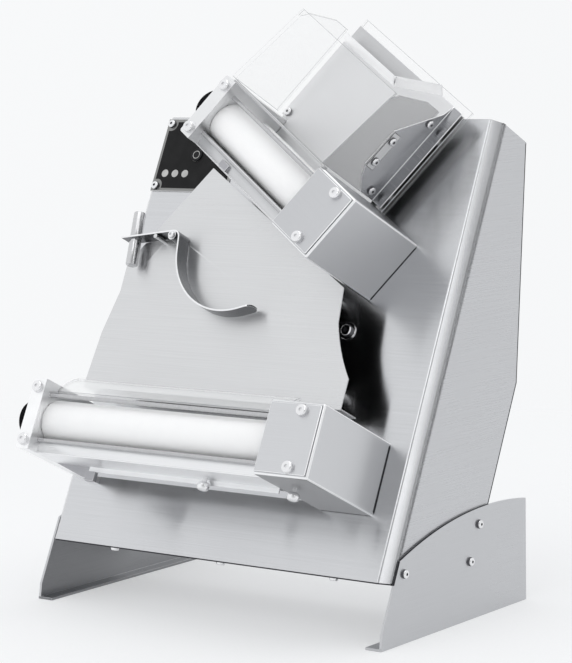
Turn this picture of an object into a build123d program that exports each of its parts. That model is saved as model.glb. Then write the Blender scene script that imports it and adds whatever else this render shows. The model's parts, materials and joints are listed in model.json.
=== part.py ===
from build123d import *
import os
from math import atan, cos, degrees, hypot, radians, sin, sqrt, tan

# Two-stage dough roller with a leaning stainless body, millimetres, +Z up.
# x runs along the front, the panel frame is (x, up the panel, out of the panel),
# and each roller head has its own frame (along the rollers, up, out of the panel).

# Body of folded sheet
body_width = 470
sheet = 1.5
corner_facet = 11.5
front_fold_round = 5
side_fold_round = 8
panel_lean = 26
panel_length = 531
panel_height = 68
body_depth = 160
top_depth = 64
knee_up = 280
bottom_rise = 40
cover_gap = 0.3
louvre_length = 90
louvre_width = 6
louvre_pitch = 18
louvre_count = 6

# Feet
foot_sheet = 3
foot_front = 15
foot_length = 295
foot_rear_height = 117
foot_crown_y = 159
foot_crown_height = 120
foot_shoulder_y = 23
foot_shoulder_height = 90
foot_flange = 20
foot_toe_height = 18

# Roller heads
head_height = 82
head_depth = 133
end_plate_thickness = 18
end_wall = 4
edge_round = 3
housing_width = 68
housing_wall = 8
lower_left_inset = 34.7
lower_right_inset = 37.3
lower_up = 112.5
upper_left_inset = 165.82
upper_right_inset = 87.8
upper_up = 345.1
upper_tilt = 34
roller_diameter = 50
roller_end_gap = 0.5
nip_gap = 1
front_roller_out = 99
thickness_travel = 4
shaft_diameter = 16
bush_diameter = 22
tie_rod_diameter = 5
tie_rod_spread = 26.2
tie_rod_out = 119
tie_rod_seat = 12
tie_rod_wall_seat = 4
belt_window_width = 45
belt_window_height = 62
block_width = 30
block_length = 32
block_bore_depth = 9.5
cover_round = 0.9
cover_inset = 3
fold_round = 2.5
front_flange = 10
slide_clearance = 0.3
running_clearance = 0.05
fit_clearance = 0.02

# Gears and belt pulleys on the roller shafts
gear_teeth = 17
gear_face = 12
tooth_root = 1.2
tooth_tip = 0.9
pressure_angle = 20
gear_from_wall = 4
tooth_backlash = 0.7
pulley_from_wall = 20
pulley_width = 14
pulley_radius = 18
pulley_flange = 23
pulley_rim = 2
belt_thickness = 3
belt_diameter = 6
belt_clearance = 0.3

# Thickness knobs
knob_diameter = 43
knob_length = 17
knob_grooves = 32
knob_groove_radius = 1.1
knob_groove_offset = 0.5
knob_round = 1.5
spindle_diameter = 14
crank_pin_diameter = 6
crank_pin_length = 3.3
crank_play = 1.3

# Fasteners
head_screw_diameter = 14
head_screw_height = 5
head_screw_taper = 8
head_screw_spread = 30.8
cover_screw_inset = 25.4
small_screw_diameter = 10
small_screw_height = 3.5
small_screw_taper = 15
foot_screw_places = ((30.4, 74.9), (160.7, 64.8), (179.9, 103.4))
base_screw_pitch = 152
base_screw_shift = 8
base_screw_back = 12
bracket_screw_places = ((149.4, 39.7), (52.5, 40.5))
keeper_screw_pitch = 28.7
thumb_head_diameter = 13.5
thumb_head_height = 9.5
thumb_neck_diameter = 5
thumb_neck_length = 5
thumb_screw_out = 88
thumb_screw_along = (-162, -43)

# Scrapers and the lower guard
scraper_sheet = 1.5
upstand_height = 17
upstand_gap = 0.5
scraper_front_out = 118
scraper_slot_front = 79
scraper_slot_rear = 68
scraper_rear_out = 36
scraper_lip = 19
hem_drop = 6
hem_inset = 50
latch_rise = 13
latch_tip = 7
latch_block_width = 13
latch_block_height = 11
latch_block_depth = 6
upper_latch_right = 120
upper_latch_width = 14
upper_latch_height = 8
upper_latch_depth = 3
lower_guard_top = 57
lower_guard_top_out = 83
lower_guard_foot = 33
lower_guard_foot_out = 110
lower_guard_radius = 70

# Transfer slide and balance rocker
slide_standoff = 45
slide_flange = 30
slide_bottom = 172
slide_right_inset = 41.4
slide_width = 360
slide_outline = (
    (-31.3, 97), (-35.8, 138), (-258.3, 275), (-307.9, 206),
    (-346, 152), (-345.3, 119.5), (-355.8, 67.5), (-360, 9.5),
)
slide_right_height = 35
slide_scoop = (-19.3, 67)
standoff_diameter = 12
standoff_places = ((-296.3, 148), (-71.3, 138), (-316.3, 33), (-36.3, 28))
rocker_x = -274.3
rocker_up = 183
rocker_tail = (-347, 177.5)
rocker_bend_radius = 9
rocker_bend_turn = 88.6
rocker_drop = 17.5
rocker_curl_radius = 82
rocker_curl_turn = 98
rocker_tip = 17
rocker_tip_round = 8
rocker_width = 20
rocker_strip = 2
rocker_lift = 1
rocker_stud_diameter = 6
rocker_hub_diameter = 11
rocker_cap_diameter = 8
rocker_cap_height = 2
stop_x = -298
stop_diameter = 5
stop_length = 21
weight_diameter = 14
weight_length = 66
weight_chamfer = 1
weight_x = -334
stud_x = -49
stud_up = 103.5
button_flange_diameter = 20
button_flange_height = 1.5
button_head_diameter = 14
button_head_height = 5
button_taper = 12

# Control plate
control_inset = 9
control_top_inset = 3
control_width = 114
control_height = 93
control_sheet = 1.5
overlay_sheet = 0.6
overlay_inset = 4
notch_radius = 9
screw_inset = 6.5
key_diameter = 16
key_height = 1.4
key_travel = 0.8
key_round = 0.45
key_pitch = 28

# Hopper above the upper head, in the upper head's frame
hopper_left_inset = 5
hopper_right = -70
hopper_out = 26
tongue_foot = 20
tongue_gap = 0.5
hopper_front_top = 153
hopper_rear_top = 181
hopper_step = -154
hopper_ramp = -92
hopper_base = 44
bracket_outline = ((167, 32), (119.4, 76.7), (72.6, 78), (57.2, 67.3))
bracket_foot_out = 52.4
lip_height = 10
lip_reach = 8
backstop_out = 20
backstop_left_inset = 3
backstop_right = -53
backstop_top = 179
spacer_diameter = 8
spacer_left_inset = 16
spacer_right_inset = 30
spacer_flange_inset = 10
spacer_low_up = 60
spacer_high_up = 140
shield_overhang = 4
guard_sheet = 3
shield_top = 189
guard_front_out = 130
guard_front_top_out = 114.5
guard_top = 152
guard_rear_out = 38
guard_rear_top = 166
guard_shoulder_out = 62
rail_height = 2.5
rail_depth = 8
rail_seat = 4
keeper_length = 48
keeper_width = 13
keeper_sheet = 2
keeper_round = 1.5
keeper_up = 94.6
keeper_out = 70.5

# Drive inside the body
drive_out = -80
motor_diameter = 112
motor_length = 190
motor_grooves = 24
motor_groove_width = 2
motor_groove_depth = 2
gearbox_width = 80
gearbox_size = 96
gearbox_round = 8
drive_shaft_diameter = 18
layshaft_diameter = 14
riser_inset = 45
gearbox_foot = 6
bearing_plate = 10
bearing_plate_width = 44
bearing_reach = 104
box_width = 96
box_height = 78
box_depth = 42
box_round = 4
gland_inset = 85
gland_up = 150
gland_hex = 27
gland_length = 14
gland_bore = 9

lean = radians(panel_lean)
tilt = radians(upper_tilt)
half_width = body_width / 2
half_head = head_height / 2
lower_right_x = half_width - lower_right_inset
upper_right_x = half_width - upper_right_inset
head_ends = housing_width + end_plate_thickness
lower_opening = body_width - lower_left_inset - lower_right_inset - head_ends
upper_opening = (body_width - upper_left_inset - upper_right_inset) / cos(tilt) - head_ends
gear_pitch_radius = (roller_diameter + nip_gap) / 2
gear_module = 2 * gear_pitch_radius / gear_teeth
rear_roller_out = front_roller_out - 2 * gear_pitch_radius
screw_face_radius = head_screw_diameter / 2 - head_screw_height * tan(radians(head_screw_taper))
screw_low = lower_up - head_screw_spread - screw_face_radius
head_reach = screw_low * sin(lean) - (head_depth + head_screw_height) * cos(lean)
rear_reach = panel_length * sin(lean) + top_depth * cos(lean)
panel_y = -(head_reach + rear_reach) / 2

panel = Plane(origin=(0, panel_y, panel_height), x_dir=(1, 0, 0), z_dir=(0, -cos(lean), sin(lean)))
lower = Plane(panel.location * Location((lower_right_x, lower_up, 0)))
upper = Plane(panel.location * Location((upper_right_x, upper_up, 0), (0, 0, -upper_tilt)))

os.makedirs("parts", exist_ok=True)


def save(piece, name):
    piece.part.label = name
    export_step(piece.part, f"parts/{name}.step")


def across(frame, along):
    """Plane square to the frame's long axis: x is up the frame and y is out of the panel."""
    return Plane(frame.from_local_coords((along, 0, 0)), x_dir=frame.y_dir, z_dir=frame.x_dir)


def body_outline(back):
    """Side outline of the body, up the panel and out of it, drawn in by back at the top, rear and base."""
    rise = bottom_rise / body_depth
    step = back * hypot(1, rise)
    return [
        (step, 0),
        (panel_length - back, 0),
        (panel_length - back, -top_depth + back),
        (knee_up, -body_depth + back),
        (rise * (body_depth - back) + step, -body_depth + back),
    ]


# Body shell: the leaning front panel and both sides, one sheet.
# Each corner is two folds with a narrow facet between them.
inner_width = body_width - 2 * sheet
inner_facet = corner_facet - (2 - sqrt(2)) * sheet
below_panel = Plane(panel.from_local_coords((0, -panel_length, 0)), x_dir=panel.x_dir, z_dir=panel.y_dir)
with BuildPart() as body_shell:
    with BuildSketch(across(panel, -half_width)):
        Polygon(*body_outline(0), align=None)
    extrude(amount=body_width)
    upright_edges = body_shell.edges().filter_by(Axis(panel.origin, panel.y_dir))
    chamfer(upright_edges.group_by(Axis(panel.origin, panel.z_dir))[-1], corner_facet)
    facet_edges = body_shell.edges().filter_by(Axis(panel.origin, panel.y_dir))
    fillet(facet_edges.group_by(Axis(panel.origin, panel.z_dir))[-2], side_fold_round)
    fold_edges = body_shell.edges().filter_by(Axis(panel.origin, panel.y_dir))
    fillet(fold_edges.group_by(Axis(panel.origin, panel.z_dir))[-1], front_fold_round)
    with BuildSketch(below_panel):
        with Locations((0, sheet)):
            hollow = Rectangle(inner_width, 2 * body_depth, align=(Align.CENTER, Align.MIN))
        chamfer(hollow.vertices().group_by(Axis.Y)[0], inner_facet)
    extrude(amount=3 * panel_length, mode=Mode.SUBTRACT)
    for frame in (lower, upper):
        with BuildSketch(frame.offset(-sheet)):
            with Locations((-housing_width / 2, 0)):
                Rectangle(belt_window_width, belt_window_height)
        extrude(amount=sheet, mode=Mode.SUBTRACT)
save(body_shell, "body_shell")

# Rear cover: one bent sheet that closes the top, the back and the base between the two sides.
cover_width = inner_width - 2 * cover_gap
gland_x = -half_width + gland_inset
front_clear = sheet + cover_gap
rear_face = Plane(
    panel.from_local_coords((0, (panel_length + knee_up) / 2, -(top_depth + body_depth) / 2)),
    x_dir=panel.x_dir,
    z_dir=panel.y_dir * (body_depth - top_depth) - panel.z_dir * (panel_length - knee_up),
)
with BuildPart() as rear_cover:
    with BuildSketch(across(panel, -cover_width / 2)):
        Polygon(*body_outline(0), align=None)
        Polygon(*body_outline(sheet), align=None, mode=Mode.SUBTRACT)
    extrude(amount=cover_width)
    with BuildSketch(below_panel):
        with Locations((0, front_clear)):
            core = Rectangle(cover_width, 2 * body_depth, align=(Align.CENTER, Align.MIN))
        chamfer(core.vertices().group_by(Axis.Y)[0], inner_facet)
    extrude(amount=3 * panel_length, mode=Mode.INTERSECT)
    with BuildSketch(rear_face):
        with GridLocations(2 * louvre_length, louvre_pitch, 2, louvre_count):
            SlotOverall(louvre_length, louvre_width)
    extrude(amount=2 * sheet, both=True, mode=Mode.SUBTRACT)
    with BuildSketch(panel.offset(-body_depth)):
        with Locations((gland_x, gland_up)):
            Circle(spindle_diameter / 2 + running_clearance)
    extrude(amount=2 * sheet, both=True, mode=Mode.SUBTRACT)
save(rear_cover, "rear_cover")

# Cable gland in the low rear face.
with BuildPart() as cable_gland:
    with BuildSketch(panel.offset(-body_depth - gland_length)):
        with Locations((gland_x, gland_up)):
            RegularPolygon(gland_hex / 2, 6)
    extrude(amount=gland_length)
    with BuildSketch(panel.offset(-body_depth)):
        with Locations((gland_x, gland_up)):
            Circle(spindle_diameter / 2)
    extrude(amount=gland_length)
    with BuildSketch(panel.offset(-body_depth - gland_length)):
        with Locations((gland_x, gland_up)):
            Circle(gland_bore / 2)
    extrude(amount=2 * gland_length, mode=Mode.SUBTRACT)
save(cable_gland, "cable_gland")

# Feet: bowed plates outside the body, each with a flange turned in along the table.
foot_y = panel_y - foot_front
for name, side in (("left_foot", -1), ("right_foot", 1)):
    with BuildPart() as foot:
        with BuildSketch(Plane.YZ.offset(side * half_width)):
            with BuildLine():
                toe = (foot_y, 0)
                heel = (foot_y + foot_length, 0)
                heel_top = (foot_y + foot_length, foot_rear_height)
                shoulder = (panel_y + foot_shoulder_y, foot_shoulder_height)
                Polyline(shoulder, (foot_y + foot_sheet, foot_toe_height), toe, heel, heel_top)
                ThreePointArc(heel_top, (panel_y + foot_crown_y, foot_crown_height), shoulder)
            make_face()
        extrude(amount=side * foot_sheet)
        with BuildSketch(Plane.XY):
            with Locations((side * (half_width + foot_sheet - foot_flange / 2), foot_y + foot_length / 2)):
                Rectangle(foot_flange, foot_length)
        extrude(amount=foot_sheet)
    save(foot, name)

# Control plate in the upper left corner of the panel, its dark overlay and keys.
control_x = -half_width + control_inset + control_width / 2
control_up = panel_length - control_top_inset - control_height / 2
start_key_x = control_x
stop_key_x = control_x + key_pitch
corner_x = control_width / 2 - screw_inset
corner_up = control_height / 2 - screw_inset
with BuildPart() as control_plate:
    with BuildSketch(panel):
        with Locations((control_x, control_up)):
            Rectangle(control_width, control_height)
    extrude(amount=control_sheet)
save(control_plate, "control_plate")

with BuildPart() as control_overlay:
    with BuildSketch(panel.offset(control_sheet)):
        with Locations((control_x, control_up)):
            Rectangle(control_width - 2 * overlay_inset, control_height - 2 * overlay_inset)
            with GridLocations(2 * corner_x, 2 * corner_up, 2, 2):
                Circle(notch_radius, mode=Mode.SUBTRACT)
        with Locations((start_key_x, control_up), (stop_key_x, control_up)):
            Circle(key_diameter / 2 + slide_clearance, mode=Mode.SUBTRACT)
    extrude(amount=overlay_sheet)
save(control_overlay, "control_overlay")

for name, key_x in (("start_key", start_key_x), ("stop_key", stop_key_x)):
    with BuildPart() as key:
        with BuildSketch(panel.offset(control_sheet + key_travel)):
            with Locations((key_x, control_up)):
                Circle(key_diameter / 2)
        extrude(amount=key_height)
        fillet(key.edges().group_by(Axis(panel.origin, panel.z_dir))[-1], key_round)
    save(key, name)

# Transfer slide: a plate that stands off the panel, with a foot flange, the rocker's stud and its stop pin.
# Its frame starts at its lower right corner, on its rear face.
rocker_top = (rocker_x, rocker_up + rocker_hub_diameter / 2)
tail_slope = (rocker_top[1] - rocker_tail[1]) / (rocker_top[0] - rocker_tail[0])
tail_angle = atan(tail_slope)
stop_below = (rocker_strip / 2 + stop_diameter / 2 + slide_clearance) / cos(tail_angle)
stop_up = rocker_tail[1] + tail_slope * (stop_x - rocker_tail[0]) - stop_below
slide = Plane(panel.location * Location((lower_right_x - slide_right_inset, slide_bottom, slide_standoff)))
with BuildPart() as slide_plate:
    with BuildSketch(slide):
        with BuildLine():
            Polyline(*slide_outline, (-slide_width, 0), (0, 0), (0, slide_right_height))
            ThreePointArc((0, slide_right_height), slide_scoop, slide_outline[0])
        make_face()
    extrude(amount=sheet)
    with BuildSketch(slide):
        with Locations((-slide_width / 2, sheet / 2)):
            Rectangle(slide_width, sheet)
    extrude(amount=-slide_flange)
    with BuildSketch(slide):
        with Locations((rocker_x, rocker_up)):
            Circle(rocker_stud_diameter / 2)
    extrude(amount=sheet + 2 * rocker_lift + rocker_width)
    with BuildSketch(slide):
        with Locations((stop_x, stop_up)):
            Circle(stop_diameter / 2)
    extrude(amount=sheet + stop_length)
save(slide_plate, "slide_plate")

with BuildPart() as slide_standoffs:
    with BuildSketch(slide):
        with Locations(*standoff_places):
            Circle(standoff_diameter / 2)
    extrude(amount=-slide_standoff)
save(slide_standoffs, "slide_standoffs")

# Balance rocker: a flat strip on edge, straight at the weight and curled where it meets the dough.
rocker_face = sheet + rocker_lift
weight_up = rocker_tail[1] + tail_slope * (weight_x - rocker_tail[0])
weight_middle = slide.from_local_coords((weight_x, weight_up, rocker_face + rocker_width / 2))
weight_axis = Plane(weight_middle, x_dir=panel.x_dir, z_dir=panel.y_dir)
weight_axis = weight_axis.rotated((0, degrees(-tail_angle), 0)).offset(-weight_length / 2)
with BuildPart() as rocker_arm:
    with BuildSketch(slide.offset(rocker_face)):
        with BuildLine():
            tail = Line(rocker_tail, rocker_top)
            bend = JernArc(tail @ 1, tail % 1, rocker_bend_radius, -rocker_bend_turn)
            drop = PolarLine(bend @ 1, rocker_drop, direction=bend % 1)
            curl = JernArc(drop @ 1, drop % 1, rocker_curl_radius, rocker_curl_turn)
            PolarLine(curl @ 1, rocker_tip, direction=curl % 1)
        trace(line_width=rocker_strip)
        with Locations((rocker_x, rocker_up)):
            Circle(rocker_hub_diameter / 2)
            Circle(rocker_stud_diameter / 2 + running_clearance, mode=Mode.SUBTRACT)
    extrude(amount=rocker_width)
    tip_face = rocker_arm.faces().sort_by(Axis(panel.origin, panel.x_dir))[-1]
    fillet(tip_face.edges().sort_by(SortBy.LENGTH)[:2], rocker_tip_round)
    with BuildSketch(weight_axis):
        Circle(weight_diameter / 2 + fit_clearance)
    extrude(amount=weight_length, mode=Mode.SUBTRACT)
save(rocker_arm, "rocker_arm")

with BuildPart() as rocker_weight:
    with BuildSketch(weight_axis):
        Circle(weight_diameter / 2)
    extrude(amount=weight_length)
    chamfer(rocker_weight.edges().filter_by(GeomType.CIRCLE), weight_chamfer)
save(rocker_weight, "rocker_weight")

# Flanged button screw on the panel beside the slide, and the small cap that keeps the rocker on its stud.
stud_end = sheet + 2 * rocker_lift + rocker_width
with BuildPart() as button_screws:
    with BuildSketch(slide.offset(-slide_standoff)):
        with Locations((stud_x, stud_up)):
            Circle(button_flange_diameter / 2)
    extrude(amount=button_flange_height)
    with BuildSketch(slide.offset(button_flange_height - slide_standoff)):
        with Locations((stud_x, stud_up)):
            Circle(button_head_diameter / 2)
    extrude(amount=button_head_height, taper=button_taper)
    with BuildSketch(slide.offset(stud_end)):
        with Locations((rocker_x, rocker_up)):
            Circle(rocker_cap_diameter / 2)
    extrude(amount=rocker_cap_height, taper=button_taper)
save(button_screws, "button_screws")


def gear_profile(place, first_tooth):
    """Straight-flanked gear teeth about a place in the current sketch."""
    root = gear_pitch_radius - tooth_root * gear_module
    tip = gear_pitch_radius + tooth_tip * gear_module
    tooth = radians(180 / gear_teeth) * gear_pitch_radius - tooth_backlash
    flank = tan(radians(pressure_angle))
    root_half = tooth / 2 + tooth_root * gear_module * flank
    tip_half = tooth / 2 - tooth_tip * gear_module * flank
    foot = root - tooth_backlash
    with Locations(place):
        Circle(root)
        with PolarLocations(0, gear_teeth, first_tooth):
            Polygon((foot, -root_half), (tip, -tip_half), (tip, tip_half), (foot, root_half), align=None)


def pulley_steps(along):
    """Start, length and radius of the two rims and the drum of a flanged pulley centred at along."""
    start = along - pulley_width / 2
    return (
        (start, pulley_rim, pulley_flange),
        (start + pulley_rim, pulley_width - 2 * pulley_rim, pulley_radius),
        (start + pulley_width - pulley_rim, pulley_rim, pulley_flange),
    )


wall_right = -housing_width + housing_wall
gear_start = wall_right + gear_from_wall
pulley_mid = wall_right + pulley_from_wall + pulley_width / 2
knob_out = front_roller_out + thickness_travel / 2
window_low = front_roller_out - block_length / 2 - slide_clearance
window_high = front_roller_out + block_length / 2 + thickness_travel + slide_clearance


def build_head(name, frame, opening, scraper_hem):
    """One roller head between its left end plate and the drive housing on the right."""
    left = -housing_width - opening
    seat = end_plate_thickness - end_wall

    # End plate: pockets for the rear bush, the sliding block and the tie rods.
    with BuildPart() as end_plate:
        with BuildSketch(across(frame, left - end_plate_thickness)):
            with Locations((0, head_depth / 2)):
                Rectangle(head_height, head_depth)
        extrude(amount=end_plate_thickness)
        fillet(end_plate.edges().filter_by(Axis(frame.origin, frame.z_dir))
               .group_by(Axis(frame.origin, frame.x_dir))[0], edge_round)
        with BuildSketch(across(frame, left - seat)):
            with Locations((0, (window_low + window_high) / 2)):
                Rectangle(block_width + 2 * slide_clearance, window_high - window_low)
            with Locations((0, rear_roller_out)):
                Circle(bush_diameter / 2 + fit_clearance)
        extrude(amount=seat, mode=Mode.SUBTRACT)
        with BuildSketch(across(frame, left - tie_rod_seat)):
            with Locations((-tie_rod_spread, tie_rod_out), (tie_rod_spread, tie_rod_out)):
                Circle(tie_rod_diameter / 2 + running_clearance)
        extrude(amount=tie_rod_seat, mode=Mode.SUBTRACT)
        with BuildSketch(across(frame, left - end_plate_thickness)):
            with Locations((0, knob_out)):
                Circle(spindle_diameter / 2 + running_clearance)
        extrude(amount=end_wall, mode=Mode.SUBTRACT)
    save(end_plate, f"{name}_end_plate")

    # Drive housing: a thick bearing wall and a sheet box, open to the panel, with a turned-in front flange.
    box_depth_out = head_depth - sheet
    with BuildPart() as housing:
        with BuildSketch(frame):
            with Locations((-housing_width / 2, 0)):
                Rectangle(housing_width, head_height)
            with Locations(((wall_right - sheet) / 2, 0)):
                Rectangle(-wall_right - sheet, head_height - 2 * sheet, mode=Mode.SUBTRACT)
        extrude(amount=box_depth_out)
        with BuildSketch(frame.offset(box_depth_out)):
            with Locations((-housing_width / 2, 0)):
                Rectangle(housing_width, head_height)
            with Locations(((wall_right - front_flange) / 2, 0)):
                Rectangle(-wall_right - front_flange, head_height - 2 * front_flange, mode=Mode.SUBTRACT)
        extrude(amount=-sheet)
        front_edges = housing.edges().group_by(Axis(frame.origin, frame.z_dir))[-1]
        long_edges = housing.edges().filter_by(Axis(frame.origin, frame.z_dir))
        outer_edges = long_edges.group_by(Axis(frame.origin, frame.x_dir))[-1]
        folds = [
            front_edges.sort_by(Axis(frame.origin, frame.x_dir))[-1],
            front_edges.sort_by(Axis(frame.origin, frame.y_dir))[-1],
            front_edges.sort_by(Axis(frame.origin, frame.y_dir))[0],
        ]
        fillet(folds + list(outer_edges), fold_round)
        with BuildSketch(across(frame, -housing_width)):
            with Locations((0, (window_low + window_high) / 2)):
                Rectangle(block_width + 2 * slide_clearance, window_high - window_low)
            with Locations((0, rear_roller_out)):
                Circle(bush_diameter / 2 + fit_clearance)
        extrude(amount=housing_wall, mode=Mode.SUBTRACT)
        with BuildSketch(across(frame, -housing_width)):
            with Locations((-tie_rod_spread, tie_rod_out), (tie_rod_spread, tie_rod_out)):
                Circle(tie_rod_diameter / 2 + running_clearance)
        extrude(amount=tie_rod_wall_seat, mode=Mode.SUBTRACT)
    save(housing, f"{name}_drive_housing")

    # Front cover of the housing, set in from the folded edges.
    with BuildPart() as cover:
        with BuildSketch(frame.offset(box_depth_out)):
            with Locations((-housing_width, 0)):
                Rectangle(
                    housing_width - cover_inset,
                    head_height - 2 * cover_inset,
                    align=(Align.MIN, Align.CENTER),
                )
        extrude(amount=sheet)
        fillet(cover.edges().group_by(Axis(frame.origin, frame.z_dir))[-1], cover_round)
    save(cover, f"{name}_drive_cover")

    # Rollers of white polymer on their shafts.
    for which, axis_out in (("front", front_roller_out), ("rear", rear_roller_out)):
        with BuildPart() as roller:
            with BuildSketch(across(frame, left + roller_end_gap)):
                with Locations((0, axis_out)):
                    Circle(roller_diameter / 2)
                    Circle(shaft_diameter / 2 + fit_clearance, mode=Mode.SUBTRACT)
            extrude(amount=opening - 2 * roller_end_gap)
        save(roller, f"{name}_{which}_roller")

    # Front shaft with its gear, from the left block to past the gear.
    with BuildPart() as front_shaft:
        with BuildSketch(across(frame, left - block_bore_depth + slide_clearance)):
            with Locations((0, front_roller_out)):
                Circle(shaft_diameter / 2)
        extrude(amount=opening + housing_wall + gear_from_wall + gear_face + block_bore_depth)
        with BuildSketch(across(frame, gear_start)):
            gear_profile((0, front_roller_out), 270 + 180 / gear_teeth)
        extrude(amount=gear_face)
    save(front_shaft, f"{name}_front_shaft")

    # Rear shaft with its gear and belt pulley.
    with BuildPart() as rear_shaft:
        with BuildSketch(across(frame, left - seat + slide_clearance)):
            with Locations((0, rear_roller_out)):
                Circle(shaft_diameter / 2)
        extrude(amount=seat + opening + housing_wall + pulley_from_wall + pulley_width)
        with BuildSketch(across(frame, gear_start)):
            gear_profile((0, rear_roller_out), 90)
        extrude(amount=gear_face)
        for start, length, radius in pulley_steps(pulley_mid):
            with BuildSketch(across(frame, start)):
                with Locations((0, rear_roller_out)):
                    Circle(radius)
            extrude(amount=length)
    save(rear_shaft, f"{name}_rear_shaft")

    # Sliding blocks that carry the front shaft; the left one has a slot for the knob's pin.
    with BuildPart() as blocks:
        for start, length, bore in (
            (left - seat + slide_clearance, seat - 2 * slide_clearance, block_bore_depth),
            (-housing_width + slide_clearance, housing_wall - 2 * slide_clearance, housing_wall),
        ):
            with BuildSketch(across(frame, start)):
                with Locations((0, front_roller_out)):
                    Rectangle(block_width, block_length)
            extrude(amount=length)
            with BuildSketch(across(frame, start + length)):
                with Locations((0, front_roller_out)):
                    Circle(shaft_diameter / 2 + running_clearance)
            extrude(amount=-min(bore, length), mode=Mode.SUBTRACT)
        slot_depth = crank_pin_length + slide_clearance
        with BuildSketch(across(frame, left - seat + slide_clearance)):
            with Locations((0, front_roller_out)):
                Rectangle(
                    crank_pin_diameter + thickness_travel + 2 * slide_clearance,
                    crank_pin_diameter + crank_play,
                )
        extrude(amount=slot_depth - slide_clearance, mode=Mode.SUBTRACT)
    save(blocks, f"{name}_bearing_blocks")

    # Thickness knob with its spindle and crank pin.
    with BuildPart() as knob:
        with BuildSketch(across(frame, left - end_plate_thickness - slide_clearance)):
            with Locations((0, knob_out)):
                Circle(knob_diameter / 2)
        extrude(amount=-knob_length)
        fillet(knob.edges().group_by(Axis(frame.origin, frame.x_dir))[0], knob_round)
        with BuildSketch(across(frame, left - end_plate_thickness - slide_clearance)):
            with Locations((0, knob_out)):
                with PolarLocations(knob_diameter / 2 + knob_groove_offset, knob_grooves):
                    Circle(knob_groove_radius)
        extrude(amount=-knob_length, mode=Mode.SUBTRACT)
        with BuildSketch(across(frame, left - end_plate_thickness - slide_clearance)):
            with Locations((0, knob_out)):
                Circle(spindle_diameter / 2)
        extrude(amount=end_wall + slide_clearance)
        with BuildSketch(across(frame, left - seat)):
            with Locations((0, knob_out - thickness_travel / 2)):
                Circle(crank_pin_diameter / 2)
        extrude(amount=crank_pin_length)
    save(knob, f"{name}_knob")

    # Scrapers under the rollers, with the dough's exit slot between them.
    # The front one turns up behind the tie rod.
    floor = -half_head
    upstand_out = tie_rod_out - tie_rod_diameter / 2 - upstand_gap
    for which, near, far, lip_at in (
        ("front", scraper_slot_front, scraper_front_out, scraper_slot_front),
        ("rear", scraper_rear_out, scraper_slot_rear, scraper_slot_rear - scraper_sheet),
    ):
        with BuildPart() as scraper:
            with BuildSketch(across(frame, left)):
                with Locations((floor + scraper_sheet / 2, (near + far) / 2)):
                    Rectangle(scraper_sheet, far - near)
                with Locations(((floor - scraper_lip) / 2, lip_at + scraper_sheet / 2)):
                    Rectangle(-scraper_lip - floor, scraper_sheet)
                if which == "front":
                    with Locations((floor + upstand_height / 2, upstand_out - scraper_sheet / 2)):
                        Rectangle(upstand_height, scraper_sheet)
            extrude(amount=opening)
            if scraper_hem and which == "front":
                with BuildSketch(across(frame, left + hem_inset)):
                    with Locations((floor - scraper_hem / 2, scraper_slot_front + scraper_sheet / 2)):
                        Rectangle(scraper_hem, scraper_sheet)
                extrude(amount=opening - hem_inset)
        save(scraper, f"{name}_{which}_scraper")


build_head("lower", lower, lower_opening, hem_drop)
build_head("upper", upper, upper_opening, 0)

# Latches of the front scrapers: a gusset plate and a block at the left end of the lower hem,
# and a tab on the upper upstand.
lower_left = -housing_width - lower_opening
hem_left = lower_left + hem_inset
with BuildPart() as scraper_latch:
    with BuildSketch(lower.offset(scraper_slot_front)):
        Polygon(
            (lower_left, -half_head),
            (hem_left - latch_tip, -half_head - latch_rise),
            (hem_left, -half_head - latch_rise),
            (hem_left, -half_head),
            align=None,
        )
    extrude(amount=scraper_sheet)
    with BuildSketch(lower.offset(scraper_slot_front)):
        with Locations((hem_left, -half_head - hem_drop)):
            Rectangle(latch_block_width, latch_block_height, align=(Align.MIN, Align.MAX))
    extrude(amount=latch_block_depth)
    with BuildSketch(upper.offset(tie_rod_out - tie_rod_diameter / 2 - upstand_gap)):
        with Locations((-housing_width - upper_latch_right, scraper_sheet - half_head)):
            Rectangle(upper_latch_width, upper_latch_height, align=(Align.CENTER, Align.MIN))
    extrude(amount=upper_latch_depth)
save(scraper_latch, "scraper_latch")

# Tie rods across the front of both heads.
with BuildPart() as tie_rods:
    for frame, opening in ((lower, lower_opening), (upper, upper_opening)):
        rod_start = -housing_width - opening - tie_rod_seat + slide_clearance
        with BuildSketch(across(frame, rod_start)):
            with Locations((-tie_rod_spread, tie_rod_out), (tie_rod_spread, tie_rod_out)):
                Circle(tie_rod_diameter / 2)
        extrude(amount=opening + tie_rod_seat + tie_rod_wall_seat - 2 * slide_clearance)
save(tie_rods, "tie_rods")

# Bushes of both rear shafts.
with BuildPart() as roller_bushes:
    for frame, opening in ((lower, lower_opening), (upper, upper_opening)):
        left = -housing_width - opening
        for start, length in ((left - end_plate_thickness + end_wall, end_plate_thickness - end_wall),
                              (-housing_width, housing_wall)):
            with BuildSketch(across(frame, start)):
                with Locations((0, rear_roller_out)):
                    Circle(bush_diameter / 2)
                    Circle(shaft_diameter / 2 + running_clearance, mode=Mode.SUBTRACT)
            extrude(amount=length)
save(roller_bushes, "roller_bushes")

# Domed screws on the end plates and covers of both heads.
with BuildPart() as head_screws:
    for frame, opening in ((lower, lower_opening), (upper, upper_opening)):
        plate_mid = -housing_width - opening - end_plate_thickness / 2
        with BuildSketch(frame.offset(head_depth)):
            for along in (plate_mid, -cover_screw_inset):
                with Locations((along, -head_screw_spread), (along, head_screw_spread)):
                    Circle(head_screw_diameter / 2)
        extrude(amount=head_screw_height, taper=head_screw_taper)
save(head_screws, "head_screws")

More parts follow.
